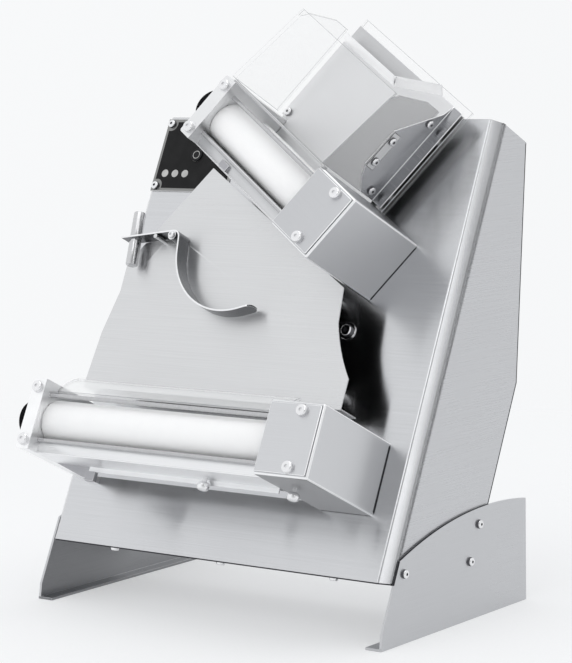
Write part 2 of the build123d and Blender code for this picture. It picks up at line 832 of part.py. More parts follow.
# Thumb screws under the lower front scraper and the lower housing.
with BuildPart() as thumb_screws:
    for start, length, diameter in (
        (half_head, thumb_neck_length, thumb_neck_diameter),
        (half_head + thumb_neck_length, thumb_head_height, thumb_head_diameter),
    ):
        under = Plane(lower.from_local_coords((0, -start, 0)), x_dir=lower.x_dir, z_dir=-lower.y_dir)
        with BuildSketch(under):
            with Locations(*[(along, thumb_screw_out) for along in thumb_screw_along]):
                Circle(diameter / 2)
        extrude(amount=length)
save(thumb_screws, "thumb_screws")

# Lower guard: a clear curved strip over the front roller, between the end plate and the housing.
with BuildPart() as lower_guard:
    with BuildSketch(across(lower, -housing_width - lower_opening)):
        with BuildLine():
            RadiusArc(
                (lower_guard_top, lower_guard_top_out),
                (lower_guard_foot, lower_guard_foot_out),
                -lower_guard_radius,
            )
        trace(line_width=guard_sheet)
    extrude(amount=lower_opening)
save(lower_guard, "lower_guard")

# Hopper back: a steel sheet with a lip turned out along its top edge and up its ramp,
# and a tongue that reaches down behind the rear roller.
upper_left = -housing_width - upper_opening
head_left = -upper_opening - head_ends
hopper_left = head_left + hopper_left_inset
backstop_left = head_left + backstop_left_inset
with BuildPart() as hopper_back:
    with BuildSketch(upper.offset(hopper_out)):
        Polygon(
            (hopper_left, hopper_base),
            (upper_left + tongue_gap, hopper_base),
            (upper_left + tongue_gap, tongue_foot),
            (-housing_width - tongue_gap, tongue_foot),
            (-housing_width - tongue_gap, hopper_base),
            (hopper_right, hopper_base),
            (hopper_right, hopper_rear_top),
            (hopper_ramp, hopper_rear_top),
            (hopper_step, hopper_front_top),
            (hopper_left, hopper_front_top),
            align=None,
        )
    extrude(amount=sheet)
    for start, along, rise in (
        (hopper_left, hopper_step - hopper_left, 0),
        (hopper_step, hopper_ramp - hopper_step, hopper_rear_top - hopper_front_top),
    ):
        run = upper.x_dir * along + upper.y_dir * rise
        fold_start = upper.from_local_coords((start, hopper_front_top, hopper_out))
        with BuildSketch(Plane(fold_start, x_dir=upper.z_dir.cross(run), z_dir=run)):
            Polygon(
                (0, 0),
                (lip_height, lip_reach),
                (lip_height, lip_reach + sheet),
                (0, sheet),
                align=None,
            )
        extrude(amount=run.length)
save(hopper_back, "hopper_back")

# Backstop: the plate behind the hopper, standing on the head's end plate and housing.
with BuildPart() as hopper_backstop:
    with BuildSketch(upper.offset(backstop_out)):
        Polygon(
            (backstop_left, half_head),
            (backstop_right, half_head),
            (backstop_right, backstop_top),
            (backstop_left, backstop_top),
            align=None,
        )
    extrude(amount=sheet)
save(hopper_backstop, "hopper_backstop")

# Spacers between the backstop and the sheets in front of it.
with BuildPart() as hopper_spacers:
    with BuildSketch(upper.offset(backstop_out + sheet)):
        for along in (
            hopper_left + spacer_left_inset,
            hopper_right - spacer_right_inset,
            hopper_right + spacer_flange_inset,
        ):
            with Locations((along, spacer_low_up), (along, spacer_high_up)):
                Circle(spacer_diameter / 2)
    extrude(amount=hopper_out - backstop_out - sheet)
save(hopper_spacers, "hopper_spacers")

# Bracket at the right of the hopper: a shaped side and a flange turned away from it.
with BuildPart() as hopper_bracket:
    with BuildSketch(across(upper, hopper_right)):
        Polygon(
            (hopper_base, hopper_out),
            (hopper_rear_top, hopper_out),
            (hopper_rear_top, hopper_out + sheet),
            *bracket_outline,
            (hopper_base, bracket_foot_out),
            align=None,
        )
    extrude(amount=sheet)
    with BuildSketch(upper.offset(hopper_out)):
        Polygon(
            (hopper_right, hopper_base),
            (backstop_right, hopper_base),
            (backstop_right, hopper_rear_top),
            (hopper_right, hopper_rear_top),
            align=None,
        )
    extrude(amount=sheet)
save(hopper_bracket, "hopper_bracket")

bracket_face = hopper_right + sheet
with BuildPart() as hopper_keeper:
    with BuildSketch(across(upper, bracket_face)):
        with Locations((keeper_up, keeper_out)):
            RectangleRounded(keeper_length, keeper_width, keeper_round)
    extrude(amount=keeper_sheet)
save(hopper_keeper, "hopper_keeper")

# Rail across the top front of the upper head, from the end plate to the housing, under the clear guard.
with BuildPart() as guard_rail:
    with BuildSketch(across(upper, upper_left - rail_seat)):
        with Locations((half_head + rail_height / 2, head_depth - rail_depth / 2)):
            Rectangle(rail_height, rail_depth)
    extrude(amount=upper_opening + 2 * rail_seat)
save(guard_rail, "guard_rail")

# Upper guard: a clear front with two clear sides, standing on the rail.
guard_foot = half_head + rail_height + slide_clearance
side_outline = [
    (guard_foot, guard_rear_out),
    (guard_foot, guard_front_out),
    (guard_top - lip_height, guard_front_top_out),
    (guard_top, guard_front_top_out - lip_height),
    (guard_rear_top, guard_shoulder_out),
    (guard_rear_top, guard_rear_out),
]
guard_right = hopper_right - slide_clearance
with BuildPart() as upper_guard:
    for start in (hopper_left, guard_right - guard_sheet):
        with BuildSketch(across(upper, start)):
            Polygon(*side_outline, align=None)
        extrude(amount=guard_sheet)
    with BuildSketch(across(upper, hopper_left)):
        Polygon(
            (guard_foot, guard_front_out - guard_sheet),
            (guard_foot, guard_front_out),
            (guard_top, guard_front_top_out),
            (guard_top, guard_front_top_out - guard_sheet),
            align=None,
        )
    extrude(amount=guard_right - hopper_left)
save(upper_guard, "upper_guard")

# Rear shield: a clear sheet behind the backstop, a little larger all round.
with BuildPart() as rear_shield:
    with BuildSketch(upper.offset(backstop_out - guard_sheet)):
        Polygon(
            (backstop_left, half_head),
            (backstop_right + shield_overhang, half_head),
            (backstop_right + shield_overhang, shield_top),
            (backstop_left, shield_top),
            align=None,
        )
    extrude(amount=guard_sheet)
save(rear_shield, "rear_shield")

# Drive: a gearmotor low in the body, its shaft with two pulleys, and a layshaft level with the upper head.
drive_frame = Plane(panel.location * Location((0, lower_up, 0)))
lower_pulley_x = lower_right_x + pulley_mid
riser_x = half_width - riser_inset
upper_pulley_x = upper_right_x + pulley_mid * cos(tilt)
layshaft_up = upper_up - pulley_mid * sin(tilt)
lay_frame = Plane(panel.location * Location((0, layshaft_up, 0)))
gearbox_right = lower_pulley_x - pulley_width - 2 * bearing_plate
gearbox_left = gearbox_right - gearbox_width
shaft_end = riser_x + pulley_width + bearing_plate

with BuildPart() as motor:
    with BuildSketch(across(drive_frame, gearbox_left - motor_length)):
        with Locations((0, drive_out)):
            Circle(motor_diameter / 2)
            with PolarLocations(motor_diameter / 2, motor_grooves):
                Rectangle(2 * motor_groove_depth, motor_groove_width, mode=Mode.SUBTRACT)
    extrude(amount=motor_length)
save(motor, "motor")

with BuildPart() as gearbox:
    with BuildSketch(across(drive_frame, gearbox_left)):
        with Locations((0, drive_out)):
            RectangleRounded(gearbox_size, gearbox_size, gearbox_round)
    extrude(amount=gearbox_width)
    with BuildSketch(across(drive_frame, gearbox_right)):
        with Locations((0, drive_out)):
            Circle(drive_shaft_diameter / 2 + running_clearance)
    extrude(amount=-gearbox_width / 2, mode=Mode.SUBTRACT)
    with BuildSketch(drive_frame.offset(-sheet)):
        with Locations(((gearbox_left + gearbox_right) / 2, 0)):
            Rectangle(gearbox_width, gearbox_size + 4 * bearing_plate)
    extrude(amount=-gearbox_foot)
    with BuildSketch(drive_frame.offset(-sheet - gearbox_foot)):
        with Locations(((gearbox_left + gearbox_right) / 2, 0)):
            Rectangle(gearbox_width - 2 * bearing_plate, gearbox_size / 2)
    extrude(amount=drive_out + gearbox_size / 2 + sheet + gearbox_foot - bearing_plate)
save(gearbox, "gearbox")

with BuildPart() as drive_shaft:
    with BuildSketch(across(drive_frame, gearbox_right - gearbox_width / 2 + slide_clearance)):
        with Locations((0, drive_out)):
            Circle(drive_shaft_diameter / 2)
    extrude(amount=shaft_end - gearbox_right + gearbox_width / 2)
    for start, length, radius in pulley_steps(lower_pulley_x) + pulley_steps(riser_x):
        with BuildSketch(across(drive_frame, start)):
            with Locations((0, drive_out)):
                Circle(radius)
        extrude(amount=length)
save(drive_shaft, "drive_shaft")

# Grooved pulley for the round belt, then the layshaft that carries it.
groove_radius = belt_diameter / 2 + belt_clearance
cord_radius = pulley_radius + groove_radius
lay_left = upper_pulley_x - cord_radius * sin(tilt) - belt_diameter - bearing_plate
with BuildPart() as layshaft:
    with BuildSketch(across(lay_frame, lay_left)):
        with Locations((0, drive_out)):
            Circle(layshaft_diameter / 2)
    extrude(amount=shaft_end - lay_left)
    for start, length, radius in pulley_steps(upper_pulley_x) + pulley_steps(riser_x):
        with BuildSketch(across(lay_frame, start)):
            with Locations((0, drive_out)):
                Circle(radius)
        extrude(amount=length)
save(layshaft, "layshaft")

with BuildPart() as bearing_plates:
    for frame, start, diameter in (
        (lay_frame, lay_left, layshaft_diameter),
        (lay_frame, riser_x + pulley_width / 2 + slide_clearance, layshaft_diameter),
        (drive_frame, riser_x + pulley_width / 2 + slide_clearance, drive_shaft_diameter),
    ):
        with BuildSketch(across(frame, start)):
            with Locations((0, -(bearing_reach + sheet) / 2)):
                Rectangle(bearing_plate_width, bearing_reach - sheet)
            with Locations((0, drive_out)):
                Circle(diameter / 2 + running_clearance, mode=Mode.SUBTRACT)
        extrude(amount=bearing_plate)
save(bearing_plates, "bearing_plates")


def flat_belt(frame, place, run, turn, along):
    """Closed flat belt in a plane square to the shafts: two half turns joined by straight runs."""
    width = pulley_width - 2 * pulley_rim - 2 * belt_clearance
    inner = pulley_radius + belt_clearance
    with BuildPart() as belt:
        with BuildSketch(across(frame, along - width / 2)):
            with Locations(Location((*place, 0), (0, 0, turn))):
                SlotCenterToCenter(run, 2 * (inner + belt_thickness))
                SlotCenterToCenter(run, 2 * inner, mode=Mode.SUBTRACT)
        extrude(amount=width)
    return belt


lower_run = rear_roller_out - drive_out
lower_belt = flat_belt(lower, (0, (rear_roller_out + drive_out) / 2), lower_run, 90, pulley_mid)
save(lower_belt, "lower_belt")
riser_run = layshaft_up - lower_up
riser_belt = flat_belt(drive_frame, (riser_run / 2, drive_out), riser_run, 0, riser_x)
save(riser_belt, "riser_belt")

# Upper belt: a round cord whose two runs cross the angle between the layshaft and the upper head.
with BuildPart() as upper_belt:
    for frame, along, axis_out, facing in (
        (lay_frame, upper_pulley_x, drive_out, 1),
        (upper, pulley_mid, rear_roller_out, -1),
    ):
        turn_plane = across(frame, along)
        axis_place = frame.from_local_coords((along, 0, axis_out))
        with BuildSketch(Plane(axis_place, x_dir=frame.y_dir, z_dir=frame.z_dir)):
            with Locations((cord_radius, 0)):
                Circle(belt_diameter / 2)
        revolve(axis=Axis(axis_place, frame.x_dir * -facing), revolution_arc=180)
    for side in (-1, 1):
        tail = lay_frame.from_local_coords((upper_pulley_x, side * cord_radius, drive_out))
        head = upper.from_local_coords((pulley_mid, side * cord_radius, rear_roller_out))
        with BuildSketch(Plane(tail, z_dir=head - tail)):
            Circle(belt_diameter / 2)
        extrude(amount=(head - tail).length)
save(upper_belt, "upper_belt")

# Control box behind the control plate.
with BuildPart() as control_box:
    with BuildSketch(panel.offset(-sheet)):
        with Locations((control_x, control_up)):
            RectangleRounded(box_width, box_height, box_round)
    extrude(amount=-box_depth)
save(control_box, "control_box")

# Small pan-head screws: through the feet, under the base, and on the control plate and the hopper.
base_face = Plane(
    panel.from_local_coords((0, base_screw_back * bottom_rise / body_depth, -base_screw_back)),
    x_dir=panel.x_dir,
    z_dir=-(panel.y_dir * body_depth + panel.z_dir * bottom_rise),
)
with BuildPart() as small_screws:
    for side in (-1, 1):
        with BuildSketch(Plane.YZ.offset(side * (half_width + foot_sheet))):
            with Locations(*[(panel_y + y, z) for y, z in foot_screw_places]):
                Circle(small_screw_diameter / 2)
        extrude(amount=side * small_screw_height, taper=small_screw_taper)
    with BuildSketch(base_face):
        with Locations((base_screw_shift, 0)):
            with GridLocations(base_screw_pitch, 0, 3, 1):
                Circle(small_screw_diameter / 2)
    extrude(amount=small_screw_height, taper=small_screw_taper)
    with BuildSketch(panel.offset(control_sheet)):
        with Locations((control_x, control_up)):
            with GridLocations(2 * corner_x, 2 * corner_up, 2, 2):
                Circle(small_screw_diameter / 2)
    extrude(amount=small_screw_height, taper=small_screw_taper)
    keeper_ends = [(keeper_up + side * keeper_screw_pitch / 2, keeper_out) for side in (-1, 1)]
    for face, places in ((bracket_face + keeper_sheet, keeper_ends), (bracket_face, bracket_screw_places)):
        with BuildSketch(across(upper, face)):
            with Locations(*places):
                Circle(small_screw_diameter / 2)
        extrude(amount=small_screw_height, taper=small_screw_taper)
    with BuildSketch(upper.offset(hopper_out + sheet)):
        with Locations((hopper_left + screw_inset, hopper_base + screw_inset)):
            Circle(small_screw_diameter / 2)
    extrude(amount=small_screw_height, taper=small_screw_taper)
save(small_screws, "small_screws")
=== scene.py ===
import json
import math
import bmesh
import bpy
from mathutils import Matrix, Vector

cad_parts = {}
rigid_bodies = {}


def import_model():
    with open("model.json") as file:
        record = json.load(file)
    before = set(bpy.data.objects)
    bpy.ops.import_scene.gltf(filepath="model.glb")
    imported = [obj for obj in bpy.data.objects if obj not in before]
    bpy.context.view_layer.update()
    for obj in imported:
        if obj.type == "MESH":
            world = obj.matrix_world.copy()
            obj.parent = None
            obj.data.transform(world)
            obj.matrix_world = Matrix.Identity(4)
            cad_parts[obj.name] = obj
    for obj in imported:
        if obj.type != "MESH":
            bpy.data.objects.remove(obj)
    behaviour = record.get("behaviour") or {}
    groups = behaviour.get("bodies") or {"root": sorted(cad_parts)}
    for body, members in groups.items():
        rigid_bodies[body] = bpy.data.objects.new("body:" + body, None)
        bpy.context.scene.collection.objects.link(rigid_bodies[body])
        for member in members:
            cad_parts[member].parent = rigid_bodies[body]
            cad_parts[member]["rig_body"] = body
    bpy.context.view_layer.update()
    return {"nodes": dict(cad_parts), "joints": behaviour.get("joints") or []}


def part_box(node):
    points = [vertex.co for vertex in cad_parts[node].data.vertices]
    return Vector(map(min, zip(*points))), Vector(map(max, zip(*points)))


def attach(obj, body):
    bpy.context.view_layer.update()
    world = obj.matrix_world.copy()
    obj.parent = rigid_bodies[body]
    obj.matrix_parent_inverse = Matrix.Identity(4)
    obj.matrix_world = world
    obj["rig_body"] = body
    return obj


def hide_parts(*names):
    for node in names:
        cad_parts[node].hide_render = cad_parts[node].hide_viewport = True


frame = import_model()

# Body shell: one sheet of brushed stainless steel, folded at both front corners so that the leaning panel
# and the two sides are a single piece. The grain runs level round the folds. A thin strip along the panel's
# foot and a border behind each side are painted near black, as the shade of the gaps and edges there.
joints = {joint["name"]: joint for joint in frame["joints"]}
right = Vector((1, 0, 0))
out = Vector(joints["rocker_swing"]["axis"]).normalized()
up = out.cross(right)
undersides = (face for face in frame["nodes"]["rear_cover"].data.polygons if face.normal.z < -0.9)
base_up = -min(undersides, key=lambda face: face.center.z).normal


def axes_of(along, across, through):
    """The turn of a sheet or a bar: along its grain, across it and through it."""
    return Matrix((along, across, through)).transposed()


def add_node(tree, kind, sockets, output=0, **settings):
    """A node whose inputs are values or other nodes' outputs. Gives one of its own outputs."""
    made = tree.nodes.new(kind)
    for name, value in settings.items():
        setattr(made, name, value)
    for name, value in sockets.items():
        if isinstance(value, bpy.types.NodeSocket):
            tree.links.new(value, made.inputs[name])
        else:
            made.inputs[name].default_value = value
    return made.outputs[output] if len(made.outputs) else None


def new_material(name, metallic=0):
    """A material, its node tree, its shader and the object coordinates that its detail is laid on."""
    material = bpy.data.materials.new(name)
    material.use_nodes = True
    tree = material.node_tree
    shader = tree.nodes["Principled BSDF"]
    shader.inputs["Metallic"].default_value = metallic
    return material, tree, shader, add_node(tree, "ShaderNodeTexCoord", {}, "Object")


def lay(tree, place, axes, scale):
    """Coordinates along a piece's own axes, stretched by a scale in metres."""
    sockets = {"Vector": place, "Rotation": axes.to_euler(), "Scale": scale}
    return add_node(tree, "ShaderNodeMapping", sockets, vector_type="TEXTURE")


def noise(tree, place, scale, detail, roughness=0.5):
    """Random marks that are finer at a larger scale, with more small ones at a higher detail."""
    sockets = {"Vector": place, "Scale": scale, "Detail": detail, "Roughness": roughness}
    return add_node(tree, "ShaderNodeTexNoise", sockets)


def spread(tree, value, start, end, low=0.3, high=0.7, **settings):
    """A number that goes from start to end as the value goes from low to high."""
    sockets = {"Value": value, "From Min": low, "From Max": high, "To Min": start, "To Max": end}
    return add_node(tree, "ShaderNodeMapRange", sockets, **settings)


def blend_colours(tree, value, dark, light, low=0.3, high=0.7):
    """A colour that goes from dark to light as the value goes from low to high."""
    ramp = tree.nodes.new("ShaderNodeValToRGB")
    tree.links.new(value, ramp.inputs["Fac"])
    for end, position, colour in ((0, low, dark), (1, high, light)):
        ramp.color_ramp.elements[end].position = position
        ramp.color_ramp.elements[end].color = (*colour, 1)
    return ramp.outputs["Color"]


def finish_shader(tree, shader, colour, rough, height=None, relief=0, depth=0.0001):
    """Gives the shader its colour and roughness, and the relief of a height if there is one."""
    tree.links.new(colour, shader.inputs["Base Color"])
    tree.links.new(rough, shader.inputs["Roughness"])
    if height is not None:
        bump = add_node(tree, "ShaderNodeBump", {"Strength": relief, "Distance": depth, "Height": height})
        tree.links.new(bump, shader.inputs["Normal"])


def brushed_steel(name, axes, tone, roughness, line=0.0004, length=0.09, relief=0.03, pull=0.8):
    """Stainless sheet with fine lines along the first of its axes, smudged a little by handling."""
    dark_line = 0.945
    light_line = 1.04
    uneven = 0.05
    line_depth = 0.0002
    material, tree, shader, place = new_material(name, metallic=1)
    lines = noise(tree, lay(tree, place, axes, (length, line, line)), scale=1, detail=4, roughness=0.7)
    smudges = noise(tree, place, scale=12, detail=3)
    dark = [dark_line * part for part in tone]
    light = [min(light_line * part, 1) for part in tone]
    wiped = spread(tree, smudges, roughness - uneven, roughness, low=0.35, high=0.65)
    rough = spread(tree, lines, wiped, roughness + uneven)
    finish_shader(tree, shader, blend_colours(tree, lines, dark, light), rough, lines, relief, line_depth)
    # The shine is drawn out across the grain. The small step aside serves faces square to the grain.
    aside = Vector((0.002, 0.003, 0.001))
    grain = add_node(tree, "ShaderNodeVectorTransform", {"Vector": axes.col[0] + aside},
                     vector_type="VECTOR", convert_from="OBJECT", convert_to="WORLD")
    facing = add_node(tree, "ShaderNodeNewGeometry", {}, "Normal")
    across = add_node(tree, "ShaderNodeVectorMath", {0: facing, 1: grain}, operation="CROSS_PRODUCT")
    shader.inputs["Anisotropic"].default_value = pull
    tree.links.new(across, shader.inputs["Tangent"])
    return material


def span(node, way):
    """Where a CAD node starts and ends along a direction."""
    steps = [vertex.co.dot(way) for vertex in frame["nodes"][node].data.vertices]
    return min(steps), max(steps)


def node_shape(node):
    """A CAD node's triangles as one shape with shared corners."""
    shape = bmesh.new()
    shape.from_mesh(frame["nodes"][node].data)
    bmesh.ops.remove_doubles(shape, verts=shape.verts, dist=2e-6)
    return shape


def mesh_of(shape, name, look):
    """A mesh with its finishes, from a shape that is then done with."""
    mesh = bpy.data.meshes.new(name)
    shape.to_mesh(mesh)
    shape.free()
    for material in look:
        mesh.materials.append(material)
    return mesh


def add_object(name, data):
    """An object in the scene, at the origin."""
    made = bpy.data.objects.new(name, data)
    bpy.context.scene.collection.objects.link(made)
    return made


def apply_modifiers(piece):
    """Keeps the mesh as the piece's modifiers leave it, and takes them off."""
    made = bpy.data.meshes.new_from_object(piece.evaluated_get(bpy.context.evaluated_depsgraph_get()))
    piece.modifiers.clear()
    piece.data = made


def settle(piece, node):
    """The piece moves with the node's body and stands for the node, which is hidden."""
    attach(piece, frame["nodes"][node]["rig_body"])
    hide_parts(node)


def soften(node, look, edge, pick=None, turn=35, divide=None):
    """A copy of a CAD node with rounded edges, which take the last finish of the look.

    Faces are split by divide if there is one, and pick gives each face its place in the look.
    """
    flat = math.radians(0.5)
    shape = node_shape(node)
    bmesh.ops.dissolve_limit(shape, angle_limit=flat, verts=shape.verts, edges=shape.edges)
    if divide:
        divide(shape)
    for face in shape.faces:
        face.smooth = True
        face.material_index = pick(face) if pick else 0
    mesh = mesh_of(shape, node + "_skin", look)
    mesh.set_sharp_from_angle(angle=math.radians(turn))
    piece = add_object(node + "_piece", mesh)
    bevel = piece.modifiers.new("rounded", "BEVEL")
    bevel.width = edge
    bevel.segments = 2
    bevel.limit_method = "ANGLE"
    bevel.angle_limit = math.radians(turn)
    bevel.harden_normals = True
    bevel.material = len(look) - 1
    apply_modifiers(piece)
    settle(piece, node)


def set_border(shape, walls, width):
    """Sets off a border of the given width inside each of the walls."""
    bmesh.ops.inset_individual(shape, faces=walls, thickness=width, use_even_offset=True)


def cut_level(shape, fronts, height):
    """Divides the fronts along a plane level with the base, at a height above the origin."""
    parts = [part for face in fronts for part in (face, *face.edges, *face.verts)]
    bmesh.ops.bisect_plane(shape, geom=list(dict.fromkeys(parts)),
                           plane_co=base_up * height, plane_no=base_up)


rear_shade_width = 0.002
foot_shade_width = 0.0014
shell_foot = span("body_shell", base_up)[0]
foot_shade_line = shell_foot + foot_shade_width


def mark_shade_lines(shape):
    """Sets off a border on both outer sides and a strip along the panel's foot, both painted near black as
    shade.
    """
    outer = 0.2
    sides = [face for face in shape.faces if face.normal.x * face.calc_center_median().x > outer]
    set_border(shape, sides, rear_shade_width)
    fronts = [face for face in shape.faces if face.normal.dot(out) > 0.05]
    cut_level(shape, fronts, foot_shade_line)


def shell_look(face):
    """Panel 0, side 1, or 2 for the painted shade along the panel's foot and behind a side."""
    centre = face.calc_center_median()
    if centre.dot(base_up) < foot_shade_line:
        return 2
    if abs(face.normal.x) < 0.985:
        return 0
    narrow = face.calc_area() < 0.002
    behind = centre.dot(out) < 0.02
    return 2 if narrow and behind and abs(face.normal.x) > 0.99 else 1


panel_axes = axes_of(right, up, out)
side_axes = axes_of(Vector((0, 1, 0)), Vector((0, 0, 1)), right)
panel_steel = brushed_steel("panel_steel", panel_axes, (0.63, 0.635, 0.65), roughness=0.2,
                            line=0.001, length=0.14, relief=0.006, pull=0.93)
side_steel = brushed_steel("side_steel", side_axes, (0.57, 0.575, 0.59), roughness=0.28,
                           line=0.0006, relief=0.01)
# Painted shade: near-black steel for thin edges and strips, standing in for shadow gaps and dark
# reflections.
painted_edge_shade = brushed_steel("painted_edge_shade", panel_axes, (0.045, 0.045, 0.05), roughness=0.45,
                              line=0.0012, length=0.01)
soften("body_shell", [panel_steel, side_steel, painted_edge_shade], edge=0.0007,
       pick=shell_look, divide=mark_shade_lines)

# Rear cover: one bent sheet of the same steel that closes the top, the back and the base, with rows
# of vent slots punched in the sloping back. It sits inside the shell's edges.
cover_steel = brushed_steel("cover_steel", panel_axes, (0.6, 0.605, 0.62), roughness=0.28)
# The rear cover's rounded edges are painted near black as shade.
soften("rear_cover", [cover_steel, painted_edge_shade], edge=0.0003)


# Cable gland: a moulded black nylon nut, screwed into the low rear face where the supply enters.
# Its skin has a fine moulded grain and is rubbed a little paler along the edges.
def moulded(name, tone, roughness, grain=2600, relief=0.12, gloss=0.12):
    """Moulded plastic with a fine pebbled skin and a few rubbed places."""
    rubbed = 1.4
    uneven = 0.06
    material, tree, shader, place = new_material(name)
    shader.inputs["Specular IOR Level"].default_value = gloss
    pebbles = noise(tree, place, scale=grain, detail=2)
    rubs = noise(tree, place, scale=60, detail=4)
    light = [rubbed * part for part in tone]
    colour = blend_colours(tree, rubs, tone, light, low=0.4, high=0.8)
    rough = spread(tree, rubs, roughness + uneven, roughness - uneven)
    finish_shader(tree, shader, colour, rough, pebbles, relief)
    return material


black_plastic = moulded("black_plastic", (0.007, 0.007, 0.008), roughness=0.5)
worn_plastic = moulded("worn_plastic", (0.015, 0.015, 0.016), roughness=0.45)
soften("cable_gland", [black_plastic, worn_plastic], edge=0.0006)

# Feet: bowed plates of 3 mm stainless sheet outside the body, each with a flange turned in along the table,
# screwed through the sides. The left one's inner side and the front end of its flange are painted darker,
# as shade, and so is the right one's edge where it stands against the body, as its painted shadow.
foot_sheet = 0.003
side_rear = 0.104
foot_steel = brushed_steel("foot_steel", side_axes, (0.56, 0.565, 0.58), roughness=0.3)
# Painted shade for the left foot's inner side.
painted_shade_foot = brushed_steel("painted_shade_foot", side_axes, (0.26, 0.263, 0.272), roughness=0.3)


def left_foot_look(face):
    """1 for the inner side and the front end of the flange, which are painted in shade, 0 for the rest."""
    flange_end = face.normal.y < -0.8 and face.calc_center_median().z < foot_sheet
    return int(face.normal.x > 0.8 or flange_end)


def right_foot_look(face):
    """1 for the edge that stands against the body, painted dark as shadow, 0 for the rest."""
    centre = face.calc_center_median()
    return int(face.normal.z > 0.2 and centre.dot(base_up) > shell_foot and centre.y < side_rear)


def mark_front_edge(shape):
    """Divides the foot's front edge where the shell ends."""
    cut_level(shape, [face for face in shape.faces if face.normal.dot(out) > 0.95], shell_foot)


soften("left_foot", [foot_steel, painted_shade_foot, foot_steel], edge=0.0006, pick=left_foot_look)
soften("right_foot", [foot_steel, painted_edge_shade, foot_steel], edge=0.0003,
       pick=right_foot_look, divide=mark_front_edge)

# Control plate: a small steel plate screwed to the upper left corner of the panel. A dark printed
# film covers it, notched round the screws, with two round membrane keys marked by pale rings.
plate_steel = brushed_steel("plate_steel", panel_axes, (0.27, 0.27, 0.265), roughness=0.32)
# Paler steel for rounded edges, partly wear and partly painted highlight.
wear_and_edge_highlight = brushed_steel("wear_and_edge_highlight", panel_axes, (0.8, 0.8, 0.81), roughness=0.24,
                           line=0.0012, length=0.01)
film = moulded("overlay_film", (0.012, 0.012, 0.0125), roughness=0.55, grain=4000, relief=0.05)
key_film = moulded("key_film", (0.016, 0.016, 0.018), roughness=0.38, grain=3000, relief=0.06)
print_grey = moulded("print_grey", (0.45, 0.45, 0.44), roughness=0.5)
soften("control_plate", [plate_steel, wear_and_edge_highlight], edge=0.0003)
soften("control_overlay", [film, worn_plastic], edge=0.0001)


def turned(name, runs, look, steps=72):
    """Round pieces: each run is a start, an axis and an outline of (distance along, radius) points."""
    crease = math.radians(32)
    shape = bmesh.new()
    for start, axis, outline in runs:
        side = axis.orthogonal().normalized()
        other = axis.cross(side)
        rings = []
        for along, radius in outline:
            turns = [math.tau * spot / steps for spot in range(steps if radius else 1)]
            ways = [side * math.cos(turn) + other * math.sin(turn) for turn in turns]
            rings.append([shape.verts.new(start + axis * along + radius * way) for way in ways])
        for ring, after in zip(rings, rings[1:]):
            for spot in range(steps):
                follow = (spot + 1) % steps
                corners = [ring[spot % len(ring)], ring[follow % len(ring)],
                           after[follow % len(after)], after[spot % len(after)]]
                shape.faces.new(list(dict.fromkeys(corners)))
    bmesh.ops.remove_doubles(shape, verts=shape.verts, dist=1e-6)
    bmesh.ops.recalc_face_normals(shape, faces=shape.faces)
    for face in shape.faces:
        face.smooth = True
    mesh = mesh_of(shape, name, [look])
    mesh.set_sharp_from_angle(angle=crease)
    return add_object(name, mesh)


def printed(name, runs, body):
    """Pale marks printed on the film or on a key."""
    marks = turned(name, runs, print_grey, steps=48)
    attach(marks, body)


ink = 0.00004
ring_inner = 0.0042
ring_outer = 0.005
key_ring = [(0, ring_inner), (ink, ring_inner), (ink, ring_outer), (0, ring_outer), (0, ring_inner)]
for key in ("start", "stop"):
    node = key + "_key"
    soften(node, [key_film, worn_plastic], edge=0.0001)
    low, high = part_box(node)
    middle = (low + high) / 2
    key_face = middle + out * (span(node, out)[1] - middle.dot(out))
    printed(key + "_ring", [(key_face, out, key_ring)], key)

dot_radius = 0.0048
dot_steps = (0.012, 0.027, 0.042)
dot_height = 0.0185
dot = [(0, 0), (0, dot_radius), (ink, dot_radius), (ink, 0)]
film_left = span("control_overlay", right)[0]
film_foot = span("control_overlay", up)[0]
film_face = span("control_overlay", out)[1]
dot_row = up * (film_foot + dot_height) + out * film_face
printed("film_dots", [(dot_row + right * (film_left + step), out, dot) for step in dot_steps], "machine")

# Transfer slide: a flat steel plate held 45 mm off the panel by turned stand-offs, its lower edge turned
# back as a flange. The side that faces the panel is painted near black, as the shade in the gap behind it.
slide_steel = brushed_steel("slide_steel", panel_axes, (0.68, 0.683, 0.69), roughness=0.3,
                            line=0.001, length=0.14)
# Painted shade for the slide's back.
painted_rear_shade = moulded("painted_rear_shade", (0.004, 0.004, 0.004), roughness=0.6)


def rear_look(face):
    """1 for a face that looks back at the panel, 0 for the rest."""
    return int(face.normal.dot(out) < -0.9)


soften("slide_plate", [slide_steel, painted_rear_shade, wear_and_edge_highlight], edge=0.0003, pick=rear_look)


def solids(node):
    """The corner points of each separate solid of a CAD node."""
    shape = node_shape(node)
    seen = set()
    found = []
    for vertex in shape.verts:
        if vertex in seen:
            continue
        seen.add(vertex)
        corners = [vertex]
        for corner in corners:
            for edge in corner.link_edges:
                other = edge.other_vert(corner)
                if other not in seen:
                    seen.add(other)
                    corners.append(other)
        found.append([corner.co.copy() for corner in corners])
    shape.free()
    return found


def round_solid(points, axis):
    """Foot, length and radius of a round solid along an axis."""
    side = axis.orthogonal().normalized()
    other = axis.cross(side)
    spans = []
    for way in (axis, side, other):
        steps = [point.dot(way) for point in points]
        spans.append((min(steps), max(steps)))
    foot = axis * spans[0][0] + side * sum(spans[1]) / 2 + other * sum(spans[2]) / 2
    return foot, spans[0][1] - spans[0][0], (spans[1][1] - spans[1][0]) / 2


def plain_bar(points, axis):
    """The run of a round bar with square ends, where a solid lies along an axis."""
    foot, length, radius = round_solid(points, axis)
    return foot, axis, [(0, 0), (0, radius), (length, radius), (length, 0)]


def turning_axes(axis):
    """The turn of a bar whose turning marks lie across its axis."""
    side = axis.orthogonal().normalized()
    return axes_of(side, axis.cross(side), axis)


